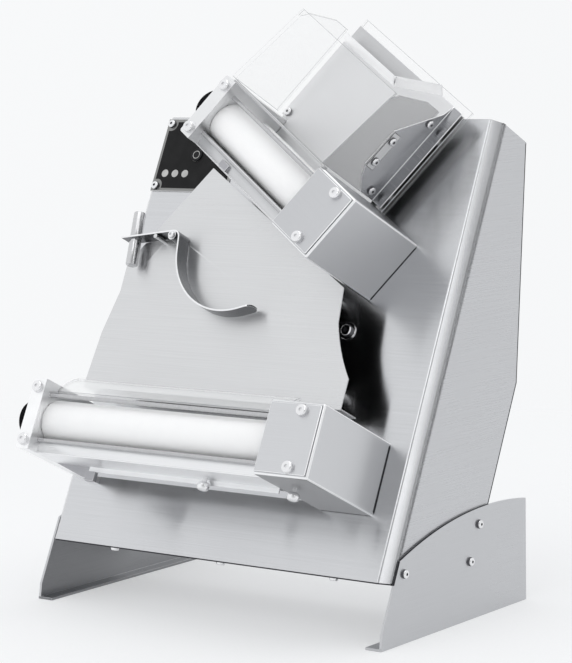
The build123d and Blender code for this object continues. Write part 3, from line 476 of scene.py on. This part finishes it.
def turned_steel(name, axis, tone, roughness):
    """Bar metal with fine turning rings across its axis."""
    ring_scale = (0.05, 0.05, 0.0004)
    dark_ring = 0.9
    uneven = 0.05
    material, tree, shader, place = new_material(name, metallic=1)
    rings = noise(tree, lay(tree, place, turning_axes(axis), ring_scale), scale=1, detail=3)
    stains = noise(tree, place, scale=90, detail=3)
    dark = [dark_ring * part for part in tone]
    colour = blend_colours(tree, rings, dark, tone, low=0.35, high=0.6)
    rough = spread(tree, stains, roughness - uneven, roughness + uneven)
    finish_shader(tree, shader, colour, rough, rings, relief=0.08)
    return material


post_steel = turned_steel("post_steel", out, (0.7, 0.7, 0.71), roughness=0.25)
posts = [plain_bar(points, out) for points in solids("slide_standoffs")]
settle(turned("slide_posts", posts, post_steel, steps=48), "slide_standoffs")

# Balance rocker: a steel strip on edge, riveted to a hub that turns on the slide's stud, straight
# towards its counterweight and curled where it meets the dough. The weight is a turned rod.
# The strip's narrow edges, and the hopper bracket's, are painted pale as highlights; the strip's broad
# sides are painted dark as reflection.
painted_edge_highlight = brushed_steel("painted_edge_highlight", panel_axes, (0.88, 0.88, 0.89), roughness=0.3,
                             line=0.0012, length=0.01)
strip_painted_shade = brushed_steel("strip_painted_shade", panel_axes, (0.16, 0.163, 0.17), roughness=0.24, length=0.03)
rod_steel = turned_steel("rod_steel", up, (0.6, 0.6, 0.61), roughness=0.2)
rod_edge = 0.0015
rod_corner = 0.0005


def strip_look(face):
    """1 for the strip's narrow edges, painted pale as highlights, 0 for its broad sides, painted dark as
    reflection.
    """
    return int(abs(face.normal.dot(out)) > 0.9)


def round_ends(length, radius, edge, corner, bore=0):
    """The outline of a bar or a sleeve with rounded ends, which take the corner's depth off the edge."""
    start = [(0, bore), (0, radius - edge), (corner, radius - corner), (edge, radius)]
    return start + [(length - along, reach) for along, reach in reversed(start)]


soften("rocker_arm", [strip_painted_shade, painted_edge_highlight, painted_edge_highlight], edge=0.0006, pick=strip_look, turn=50)
rod_points = sorted(solids("rocker_weight")[0], key=lambda point: point.dot(up))
half = len(rod_points) // 2
lean = (sum(rod_points[half:], Vector()) - sum(rod_points[:half], Vector())).normalized()
foot, length, radius = round_solid(rod_points, lean)
rod = (foot, lean, round_ends(length, radius, rod_edge, rod_corner))
settle(turned("weight_rod", [rod], rod_steel), "rocker_weight")

# Lower and upper roller heads: a satin aluminium end plate on the left and a folded steel drive housing
# with a front cover on the right carry two white polymer rollers and their scrapers. A dark line of painted
# shade shows where a housing meets the panel.
heads = {}
for head in ("lower", "upper"):
    along = Vector(joints[head + "_rear_roller_spin"]["axis"]).normalized()
    heads[head] = (along, out.cross(along))


def satin_metal(name, tone, roughness):
    """Blasted or polished metal without grain lines."""
    dark_mark = 0.95
    material, tree, shader, place = new_material(name, metallic=1)
    beads = noise(tree, place, scale=1800, detail=2)
    marks = noise(tree, place, scale=30, detail=4)
    dark = [dark_mark * part for part in tone]
    colour = blend_colours(tree, marks, dark, tone, low=0.35, high=0.65)
    rough = spread(tree, marks, roughness - 0.04, roughness + 0.06)
    finish_shader(tree, shader, colour, rough, beads, relief=0.06)
    return material


def roller_polymer(name, axis):
    """White food-grade polymer, turned, with faint rings and a trace of flour."""
    ring_scale = (0.2, 0.2, 0.0009)
    material, tree, shader, place = new_material(name)
    rings = noise(tree, lay(tree, place, turning_axes(axis), ring_scale), scale=1, detail=3)
    flour = noise(tree, place, scale=45, detail=5)
    colour = blend_colours(tree, flour, (0.93, 0.93, 0.935), (0.95, 0.95, 0.95), high=0.6)
    finish_shader(tree, shader, colour, spread(tree, flour, 0.5, 0.6), rings, relief=0.05)
    shader.inputs["Subsurface Weight"].default_value = 0.6
    shader.inputs["Subsurface Radius"].default_value = (1, 1, 1)
    shader.inputs["Subsurface Scale"].default_value = 0.02
    return material


def finish_node(node, look):
    """A hidden or plain CAD node keeps its mesh and takes a worked finish."""
    frame["nodes"][node].data.materials.clear()
    frame["nodes"][node].data.materials.append(look)


def off_axis(point, foot, axis):
    """How far a point lies from an axis through a foot."""
    step = point - foot
    return (step - axis * step.dot(axis)).length


rubbed_aluminium = satin_metal("rubbed_aluminium", (0.92, 0.92, 0.93), roughness=0.22)
knob_plastic = moulded("knob_plastic", (0.008, 0.008, 0.009), roughness=0.65, gloss=0.02)
machined = turned_steel("machined_steel", right, (0.55, 0.55, 0.56), roughness=0.3)
# Lit and shaded copies: the upper head's housing, plates and scrapers are painted darker than the lower's
# as shade, folds pale as highlights and undersides dark as shade.
head_tone_and_shade = {"lower": (0.63, 0.635, 0.65), "upper": (0.55, 0.555, 0.57)}
plate_tone_and_shade = {"lower": (0.96, 0.962, 0.967), "upper": (0.82, 0.823, 0.83)}
scraper_tone_and_shade = {"lower": (0.86, 0.865, 0.875), "upper": (0.6, 0.605, 0.615)}
fold_highlight_tone = (0.93, 0.932, 0.94)
underside_shade_tone = (0.36, 0.363, 0.372)
joint_shade_width = {"lower": 0.002, "upper": 0.0013}
joint_shade_reach = 0.003
sleeve_edge = 0.0008
sleeve_corner = 0.00024
for head, (along, rise) in heads.items():
    head_axes = axes_of(along, rise, out)
    head_steel = brushed_steel(head + "_head_steel", head_axes, head_tone_and_shade[head], roughness=0.32)
    fold_highlight_steel = brushed_steel(head + "_fold_highlight_steel", head_axes, fold_highlight_tone, roughness=0.3)
    underside_shade_steel = brushed_steel(head + "_underside_shade_steel", head_axes, underside_shade_tone, roughness=0.3)
    scraper_steel = brushed_steel(head + "_scraper_steel", head_axes, scraper_tone_and_shade[head], roughness=0.32)
    plate_aluminium = satin_metal(head + "_plate_aluminium", plate_tone_and_shade[head], roughness=0.36)
    polymer = roller_polymer(head + "_polymer", along)
    housing = head + "_drive_housing"
    panel_end = span(housing, out)[0]

    def fold_look(face):
        """1 for a face of a folded edge, 0 for a wall."""
        return int(max(abs(face.normal.dot(axis)) for axis in (along, rise, out)) < 0.97)

    def housing_look(face):
        """Wall 0, folded edge 1 painted as a highlight, underside 2 painted as shade, or 3 for the painted
        shade line along the panel.
        """
        if fold_look(face):
            return 1
        if face.calc_center_median().dot(out) < panel_end + joint_shade_reach:
            return 3
        return 2 if face.normal.dot(rise) < -0.9 else 0

    def mark_joint_shade(shape):
        """Sets off a border on the right wall and on the underside, to be painted as the shade line."""
        square = [face for face in shape.faces if abs(face.normal.dot(out)) < 0.1]
        large = [face for face in square if face.calc_area() > 0.003]
        walls = [face for face in large if max(face.normal.dot(along), -face.normal.dot(rise)) > 0.97]
        set_border(shape, walls, joint_shade_width[head])

    soften(head + "_end_plate", [plate_aluminium, rubbed_aluminium], edge=0.0006)
    soften(housing, [head_steel, fold_highlight_steel, underside_shade_steel, painted_edge_shade], edge=0.0006,
           pick=housing_look, divide=mark_joint_shade)
    # The cover's folds are painted pale as highlights and its rounded edges near black as shade.
    soften(head + "_drive_cover", [head_steel, fold_highlight_steel, painted_edge_shade], edge=0.0009,
           pick=fold_look, turn=60)
    soften(head + "_front_scraper", [scraper_steel, wear_and_edge_highlight], edge=0.0003)
    soften(head + "_rear_scraper", [scraper_steel, wear_and_edge_highlight], edge=0.0003)
    for which in ("front", "rear"):
        node = f"{head}_{which}_roller"
        points = solids(node)[0]
        foot, length, radius = round_solid(points, along)
        bore = min(off_axis(point, foot, along) for point in points)
        outline = round_ends(length, radius, sleeve_edge, sleeve_corner, bore)
        outline.append(outline[0])
        settle(turned(node + "_sleeve", [(foot, along, outline)], polymer, steps=128), node)
        finish_node(f"{head}_{which}_shaft", machined)
    soften(head + "_bearing_blocks", [machined, wear_and_edge_highlight], edge=0.0003)
    soften(head + "_knob", [knob_plastic, knob_plastic], edge=0.0003, turn=50)

# Tie rods: ground steel bars across the front of both heads, let into the end plates and the
# housings. The bronze bushes of the rear shafts sit in the same walls.
tie_rod_steel = turned_steel("tie_rod_steel", right, (0.52, 0.52, 0.53), roughness=0.2)
bronze = turned_steel("bush_bronze", right, (0.5, 0.33, 0.13), roughness=0.35)
rods = []
for points in solids("tie_rods"):
    along = min((axis for axis, rise in heads.values()), key=lambda axis: round_solid(points, axis)[2])
    rods.append(plain_bar(points, along))
settle(turned("tie_rod_bars", rods, tie_rod_steel, steps=48), "tie_rods")
finish_node("roller_bushes", bronze)

# Scraper latches and thumb screws: the small steel gusset, block and tab that hold the removable
# scrapers, and two turned knobs on necks under the lower head that are undone by hand.
latch_steel = brushed_steel("latch_steel", panel_axes, (0.42, 0.42, 0.44), roughness=0.3)
soften("scraper_latch", [latch_steel, wear_and_edge_highlight], edge=0.0003)
down = -heads["lower"][1]
thumb_steel = turned_steel("thumb_steel", -down, (0.85, 0.85, 0.86), roughness=0.15)
neck_length = 0.005
# Steps on from the neck and back from the tip, each with its share of the knob's radius.
shoulder = [(0, 0.7), (0.0012, 0.95), (0.0025, 1)]
dome = [(0.0032, 1), (0.0014, 0.86), (0.0004, 0.58), (0, 0.3), (0, 0)]
thumbs = []
for points in solids("thumb_screws"):
    foot, length, radius = round_solid(points, down)
    neck = min(off_axis(point, foot, down) for point in points)
    outline = [(0, 0), (0, neck), (neck_length, neck)]
    outline += [(neck_length + step, share * radius) for step, share in shoulder]
    outline += [(length - step, share * radius) for step, share in dome]
    thumbs.append((foot, down, outline))
settle(turned("thumb_knobs", thumbs, thumb_steel, steps=40), "thumb_screws")

# Screws: bright socket-head screws with domed heads, large ones on the heads, small ones on the feet, the
# base, the control plate and the hopper, a flanged one by the slide, and the rocker's cap. Only the heads
# show. Sockets and the rims of most heads are painted darker than the domes, as painted shade and
# reflection.
screw_steel = satin_metal("screw_steel", (0.84, 0.84, 0.85), roughness=0.16)
# Painted shade for the sockets' hollows and the heads' rims.
pale_socket_shade = satin_metal("pale_socket_shade", (0.78, 0.78, 0.79), roughness=0.4)
dark_socket_shade = satin_metal("dark_socket_shade", (0.16, 0.16, 0.17), roughness=0.4)


def socket_head_tree():
    """Domed heads with a hexagonal socket, one on each point, turned to the point's facing."""
    flatness = 9
    roundness = 0.4
    shaded_rim_share = 0.6
    tree = bpy.data.node_groups.new("socket_heads", "GeometryNodeTree")
    inputs = {"Places": "Geometry", "Diameter": "Float", "Height": "Float", "Socket": "Float",
              "Depth": "Float", "Shade": "Material"}
    for name, kind in inputs.items():
        tree.interface.new_socket(name=name, in_out="INPUT", socket_type="NodeSocket" + kind)
    tree.interface.new_socket(name="Heads", in_out="OUTPUT", socket_type="NodeSocketGeometry")
    given = tree.nodes.new("NodeGroupInput").outputs

    def calculate(operation, first, second, **settings):
        """The result of one operation on two numbers."""
        return add_node(tree, "ShaderNodeMath", {0: first, 1: second}, operation=operation, **settings)

    def below(value, limit):
        """True where a value is under its limit."""
        return add_node(tree, "FunctionNodeCompare", {0: value, 1: limit},
                        data_type="FLOAT", operation="LESS_THAN")

    def vector(first, second, third):
        """Three numbers as one vector."""
        return add_node(tree, "ShaderNodeCombineXYZ", {0: first, 1: second, 2: third})

    def painted(geometry, material, where=True):
        """The geometry with a material on the chosen faces."""
        sockets = {"Geometry": geometry, "Selection": where, "Material": material}
        return add_node(tree, "GeometryNodeSetMaterial", sockets)

    # The dome is half a ball, drawn up to a flat top with a rounded rim and closed below.
    ball = add_node(tree, "GeometryNodeMeshUVSphere", {"Segments": 40, "Rings": 32, "Radius": 1})
    spot = add_node(tree, "GeometryNodeInputPosition", {})
    across, other, height = add_node(tree, "ShaderNodeSeparateXYZ", {0: spot}).node.outputs
    lower_half = below(height, -0.01)
    half_ball = add_node(tree, "GeometryNodeDeleteGeometry", {0: ball, 1: lower_half}, domain="POINT")
    level = add_node(tree, "ShaderNodeVectorMath", {0: spot, 1: (1, 1, 0)}, operation="MULTIPLY")
    reach = add_node(tree, "ShaderNodeVectorMath", {0: level}, "Value", operation="LENGTH")
    left_over = calculate("SUBTRACT", 1, calculate("POWER", reach, flatness), use_clamp=True)
    lifted = vector(across, other, calculate("POWER", left_over, roundness))
    dome = add_node(tree, "GeometryNodeSetPosition", {"Geometry": half_ball, "Position": lifted})
    closed = add_node(tree, "GeometryNodeConvexHull", {0: dome})
    radius = calculate("MULTIPLY", given["Diameter"], 0.5)
    size = vector(radius, radius, given["Height"])
    head = add_node(tree, "GeometryNodeTransform", {"Geometry": closed, "Scale": size})
    # The foot of the dome is painted in the shade material, as the dark reflection round its rim.
    rim = below(height, calculate("MULTIPLY", given["Height"], shaded_rim_share))
    rimmed = painted(head, given["Shade"], rim)
    # The socket is a hexagonal prism, sunk into the top.
    corner = calculate("MULTIPLY", given["Socket"], 0.5)
    tall = calculate("MULTIPLY", given["Depth"], 2)
    prism = add_node(tree, "GeometryNodeMeshCylinder", {"Vertices": 6, "Radius": corner, "Depth": tall})
    top = vector(0, 0, given["Height"])
    # The socket is painted in the shade material, as the shade in its hollow.
    sunk = {"Geometry": painted(prism, given["Shade"]), "Translation": top}
    socket = add_node(tree, "GeometryNodeTransform", sunk)
    cut = add_node(tree, "GeometryNodeMeshBoolean", {0: rimmed, 1: socket},
                   operation="DIFFERENCE", solver="EXACT")
    # Each place gets one head, polished wherever it isn't shaded.
    facing = add_node(tree, "GeometryNodeInputNamedAttribute", {"Name": "facing"}, data_type="FLOAT_VECTOR")
    turn = add_node(tree, "FunctionNodeAlignRotationToVector", {"Vector": facing}, axis="Z")
    sockets = {"Points": given["Places"], "Instance": cut, "Rotation": turn}
    placed = add_node(tree, "GeometryNodeInstanceOnPoints", sockets)
    real = add_node(tree, "GeometryNodeRealizeInstances", {0: placed})
    shaded = add_node(tree, "GeometryNodeMaterialSelection", {"Material": given["Shade"]})
    polished = add_node(tree, "FunctionNodeBooleanMath", {0: shaded}, operation="NOT")
    add_node(tree, "NodeGroupOutput", {0: painted(real, screw_steel, polished)})
    return tree


socket_heads = socket_head_tree()


def screws(name, places, like, socket, depth, shade):
    """A piece of equal screw heads at their places, all as large as the head of one place."""
    crease = math.radians(28)
    sizes = {"Diameter": like["width"], "Height": like["height"],
             "Socket": socket, "Depth": depth, "Shade": shade}
    mesh = bpy.data.meshes.new(name + "_places")
    mesh.from_pydata([place["foot"] for place in places], [], [])
    facings = mesh.attributes.new("facing", "FLOAT_VECTOR", "POINT")
    for item, place in zip(facings.data, places):
        item.vector = place["facing"]
    piece = add_object(name, mesh)
    modifier = piece.modifiers.new("heads", "NODES")
    modifier.node_group = socket_heads
    for item in socket_heads.interface.items_tree:
        if item.in_out == "INPUT" and item.name in sizes:
            modifier[item.identifier] = sizes[item.name]
    apply_modifiers(piece)
    piece.data.shade_smooth()
    piece.data.set_sharp_from_angle(angle=crease)
    return piece


def screw_place(points, ways):
    """The place of a flat tapered head that lies across one of the ways, its wide end down."""
    way = min(ways, key=lambda axis: round_solid(points, axis)[1])
    foot, height, radius = round_solid(points, way)
    ends = [0, 0]
    for point in points:
        end = int((point - foot).dot(way) > height / 2)
        ends[end] = max(ends[end], off_axis(point, foot, way))
    if ends[0] < ends[1]:
        foot = foot + way * height
        way = -way
    return {"foot": foot, "facing": way, "height": height, "width": 2 * radius}


upper_along, upper_rise = heads["upper"]
ways = [right, out, upper_along, -base_up]
large = [screw_place(points, ways) for points in solids("head_screws")]
head_screws = screws("head_screw_heads", large, large[0], socket=0.0046, depth=0.001, shade=pale_socket_shade)
settle(head_screws, "head_screws")

small = [screw_place(points, ways) for points in solids("small_screws")]
beside = [place for place in small if place["facing"].dot(base_up) > -0.9]
beneath = [place for place in small if place["facing"].dot(base_up) < -0.9]
small_screws = screws("small_screw_heads", beside, small[0], socket=0.0036, depth=0.001, shade=dark_socket_shade)
settle(small_screws, "small_screws")
base_screws = screws("base_screw_heads", beneath, small[0], socket=0.0036, depth=0.001, shade=screw_steel)
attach(base_screws, "machine")

washer_height = 0.0015
washer_edge = 0.0003
button_width = 0.014
found = [screw_place(points, [out]) for points in solids("button_screws")]
cap, button = sorted(found, key=lambda place: place["width"])
cap["facing"] = out
rocker_cap = screws("rocker_cap", [cap], cap, socket=0.0036, depth=0.0012, shade=pale_socket_shade)
settle(rocker_cap, "button_screws")
raised = {"foot": button["foot"] + out * washer_height, "facing": out,
          "height": button["height"] - washer_height, "width": button_width}
washer_radius = button["width"] / 2
washer = [(0, 0), (0, washer_radius), (washer_height - washer_edge, washer_radius),
          (washer_height, washer_radius - washer_edge), (washer_height, 0)]
panel_button = screws("panel_button", [raised], raised, socket=0.0062, depth=0.0028, shade=dark_socket_shade)
panel_washer = turned("panel_washer", [(button["foot"], out, washer)], screw_steel, steps=48)
for piece in (panel_button, panel_washer):
    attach(piece, "machine")

# Hopper: a brushed steel back with a turned lip, a backstop behind it on spacers, a rail in front and a
# side bracket with a keeper bar, all carried by the upper head and leaning with it. The lip is painted pale
# as a highlight and the bracket's flange darker as shade. The lower part of the backstop's rear is painted
# near black as shade, with a border of painted light along its right edge.
hopper_axes = axes_of(upper_along, upper_rise, out)
hopper_steel = brushed_steel("hopper_steel", hopper_axes, (0.69, 0.692, 0.7), roughness=0.42)
# The lip is painted pale as a highlight.
lip_highlight_steel = brushed_steel("lip_highlight_steel", hopper_axes, (0.95, 0.95, 0.955), roughness=0.3)
backstop_steel = brushed_steel("backstop_steel", hopper_axes, (0.56, 0.562, 0.57), roughness=0.35)
bracket_steel = brushed_steel("bracket_steel", hopper_axes, (0.53, 0.535, 0.55), roughness=0.24)
rail_steel = brushed_steel("rail_steel", hopper_axes, (0.46, 0.463, 0.47), roughness=0.3)
# The flange is painted darker as shade.
flange_shade_steel = brushed_steel("flange_shade_steel", hopper_axes, (0.38, 0.385, 0.4), roughness=0.24)
lit_border_width = 0.011
shade_top = 0.54


def lip_look(face):
    """1 for the turned lip, 0 for the rest."""
    return int(0.5 < face.normal.dot(out) < 0.95)


def shade_with_lit_border(name, axis, edge, border, top):
    """Painted shade with a border of painted light along one edge, and bare steel above its top."""
    fringe = 0.001
    dark = (0.006, 0.006, 0.006)
    pale = (0.88, 0.88, 0.885)
    steel = (0.5, 0.503, 0.51, 1)
    material, tree, shader, place = new_material(name)
    height = add_node(tree, "ShaderNodeSeparateXYZ", {0: place}, "Z")
    bare = spread(tree, height, 0, 1, low=top, high=top + fringe)
    tree.links.new(bare, shader.inputs["Metallic"])
    step = add_node(tree, "ShaderNodeVectorMath", {0: place, 1: axis}, "Value", operation="DOT_PRODUCT")
    bordered = spread(tree, step, 0, 1, low=edge - border - fringe, high=edge - border)
    mat = blend_colours(tree, bordered, dark, pale, low=0.1, high=0.9)
    colour = add_node(tree, "ShaderNodeMixRGB", {"Fac": bare, "Color1": mat, "Color2": steel})
    weave = noise(tree, place, scale=900, detail=2)
    rough = spread(tree, weave, 0.35, 0.6, low=0, high=1)
    finish_shader(tree, shader, colour, rough, weave, relief=0.2)
    return material


def flange_look(face):
    """1 for the bracket's flange, which looks to the front and is painted darker as shade, 0 for the rest.
    """
    return int(face.normal.dot(out) > 0.9)


soften("hopper_back", [hopper_steel, lip_highlight_steel, wear_and_edge_highlight], edge=0.0003, pick=lip_look)
backstop_right = span("hopper_backstop", upper_along)[1]
# The backstop's rear is painted near black as shade, with a pale border of painted light.
backstop_painted_shade = shade_with_lit_border("backstop_painted_shade", upper_along, backstop_right, lit_border_width, shade_top)
soften("hopper_backstop", [backstop_steel, backstop_painted_shade, wear_and_edge_highlight], edge=0.0003, pick=rear_look)
soften("guard_rail", [rail_steel, wear_and_edge_highlight], edge=0.0003)
soften("hopper_bracket", [bracket_steel, flange_shade_steel, painted_edge_highlight], edge=0.0006, pick=flange_look)
# The keeper's rounded edges are painted near black as shade.
soften("hopper_keeper", [hopper_steel, painted_edge_shade], edge=0.0005)
finish_node("hopper_spacers", post_steel)


# Clear guards and rear shield: 3 mm polycarbonate sheet, cut and bent, with polished faces and frosted cut
# edges. The upper guard stands on the hopper's rail and closes its front; its right wall is tinted dark, as
# painted shade of the hopper's inside seen through it. The lower guard is a milky strip over the front
# roller.
def clear_sheet(name, tone, roughness, cover):
    """Plastic sheet that hides the given share of what is behind each face, with faint wiping marks."""
    wiped_gain = 0.01
    uneven = 0.05
    material, tree, shader, place = new_material(name)
    shader.inputs["Alpha"].default_value = cover
    wiping = noise(tree, place, scale=25, detail=5)
    light = [min(part + wiped_gain, 1) for part in tone]
    rough = spread(tree, wiping, roughness, roughness + uneven, low=0.4)
    finish_shader(tree, shader, blend_colours(tree, wiping, tone, light), rough)
    return material


clear = clear_sheet("clear_sheet", (0.95, 0.955, 0.96), roughness=0.1, cover=0.05)
# A dark tint that paints in the shade of the hopper's inside behind the right wall.
shade_tinted = clear_sheet("shade_tinted_sheet", (0.1, 0.1, 0.105), roughness=0.1, cover=0.26)
milky = clear_sheet("milky_sheet", (0.94, 0.945, 0.95), roughness=0.15, cover=0.36)
cut_edge = clear_sheet("cut_edge", (0.3, 0.31, 0.32), roughness=0.3, cover=0.55)
wall_depth = 0.004
shade_tinted_from = span("upper_guard", upper_along)[1] - wall_depth


def guard_look(face):
    """1 for the right wall, tinted dark as painted shade, 0 for the clear rest."""
    return int(face.calc_center_median().dot(upper_along) > shade_tinted_from)


soften("upper_guard", [clear, shade_tinted, cut_edge], edge=0.0004, pick=guard_look)
soften("rear_shield", [clear, cut_edge], edge=0.0004)
soften("lower_guard", [milky, cut_edge], edge=0.0004, turn=50)

# Drive inside the body: a finned gearmotor, two shafts with pulleys in bearing plates, belts to both
# heads and the control box. The rear cover closes them in, so they keep their plain shapes.
cast = satin_metal("cast_aluminium", (0.42, 0.43, 0.45), roughness=0.5)
rubber = moulded("belt_rubber", (0.02, 0.02, 0.02), roughness=0.7, grain=1500, relief=0.2)
for node in ("motor", "gearbox"):
    finish_node(node, cast)
for node in ("drive_shaft", "layshaft", "bearing_plates"):
    finish_node(node, machined)
for node in ("lower_belt", "riser_belt", "upper_belt"):
    finish_node(node, rubber)
finish_node("control_box", black_plastic)

# Camera: to the right of the machine, just below the height of its top, with a long lens. It is
# turned by a heading, a tip downwards and a slight roll.
heading = math.radians(36.24)
tip = math.radians(6.6)
roll = math.radians(-0.93)
camera_place = (1.6545, -2.20566, 0.6301)
back = Vector((math.sin(heading) * math.cos(tip), -math.cos(heading) * math.cos(tip), math.sin(tip)))
level = Vector((math.cos(heading), math.sin(heading), 0))
above = back.cross(level)
across = level * math.cos(roll) + above * math.sin(roll)
upright = above * math.cos(roll) - level * math.sin(roll)
camera = add_object("camera", bpy.data.cameras.new("camera"))
camera.data.lens = 134.55
camera.data.clip_end = 100
camera.matrix_world = Matrix.Translation(camera_place) @ axes_of(across, upright, back).to_4x4()
bpy.context.scene.camera = camera

# Table: a round sheet of pale paper that glows faintly and fades into the room all round, so that the
# machine's shadow lies on it and no horizon shows.
paper_radius = 4
fade_from = 0.6
fade_to = 2.2
paper, tree, shader, place = new_material("paper")
fibres = noise(tree, place, scale=300, detail=3)
paper_tone = blend_colours(tree, fibres, (0.5, 0.503, 0.508), (0.51, 0.513, 0.518), low=0.4, high=0.6)
tree.links.new(paper_tone, shader.inputs["Base Color"])
shader.inputs["Roughness"].default_value = 0.9
shader.inputs["Specular IOR Level"].default_value = 0
shader.inputs["Emission Color"].default_value = (0.985, 0.993, 1, 1)
shader.inputs["Emission Strength"].default_value = 0.43
reach = add_node(tree, "ShaderNodeVectorMath", {0: place}, "Value", operation="LENGTH")
fade = spread(tree, reach, 0, 1, low=fade_from, high=fade_to, interpolation_type="SMOOTHSTEP")
open_air = add_node(tree, "ShaderNodeBsdfTransparent", {})
faded = add_node(tree, "ShaderNodeMixShader", {0: fade, 1: shader.outputs[0], 2: open_air})
tree.links.new(faded, tree.nodes["Material Output"].inputs["Surface"])
disc = bmesh.new()
bmesh.ops.create_circle(disc, cap_ends=True, segments=96, radius=paper_radius)
floor = add_object("floor", mesh_of(disc, "floor", [paper]))


# Studio lights: a broad soft box above, a small one in front and a narrow strip on the right, in an
# even white room that is a little brighter at the front left. Two dark screens at the right shape the
# folds. Each of the room's areas has an aim, the span of its soft edge and its change of strength.
def soft_light(name, place, width, height, power):
    """A soft box at a place, turned to the middle of the machine."""
    middle = Vector((0, 0, 0.3))
    lamp = add_object(name, bpy.data.lights.new(name, "AREA"))
    lamp.data.shape = "RECTANGLE"
    lamp.data.size = width
    lamp.data.size_y = height
    lamp.data.energy = power
    lamp.location = place
    lamp.rotation_euler = (Vector(place) - middle).to_track_quat("Z", "Y").to_euler()


soft_light("top_light", (0.3, -0.6, 3.4), width=2.4, height=2.4, power=16)
soft_light("front_light", (0.4, -2.3, 2.3), width=1.2, height=0.7, power=4)
soft_light("strip_light", (2.6, -1.45, 2.4), width=0.7, height=3, power=8)

bright_side = ((-0.5, -0.75, 0.43), -0.356, 1, 0.1)
broad_screen = ((0.587, -0.583, 0.56), 0.7, 0.97, -0.5)
narrow_screen = ((0.92, -0.15, 0.35), 0.985, 0.996, -0.75)
world = bpy.data.worlds.new("room")
world.use_nodes = True
bpy.context.scene.world = world
tree = world.node_tree
way_out = add_node(tree, "ShaderNodeTexCoord", {}, "Generated")
strength = 0.945
for aim, low, high, change in (bright_side, broad_screen, narrow_screen):
    toward = add_node(tree, "ShaderNodeVectorMath", {0: way_out, 1: aim}, "Value", operation="DOT_PRODUCT")
    added = spread(tree, toward, 0, change, low, high)
    strength = add_node(tree, "ShaderNodeMath", {0: added, 1: strength}, operation="ADD")
room = tree.nodes["Background"]
room.inputs["Color"].default_value = (0.98, 0.99, 1, 1)
tree.links.new(strength, room.inputs["Strength"])
bpy.context.scene.view_settings.view_transform = "Standard"
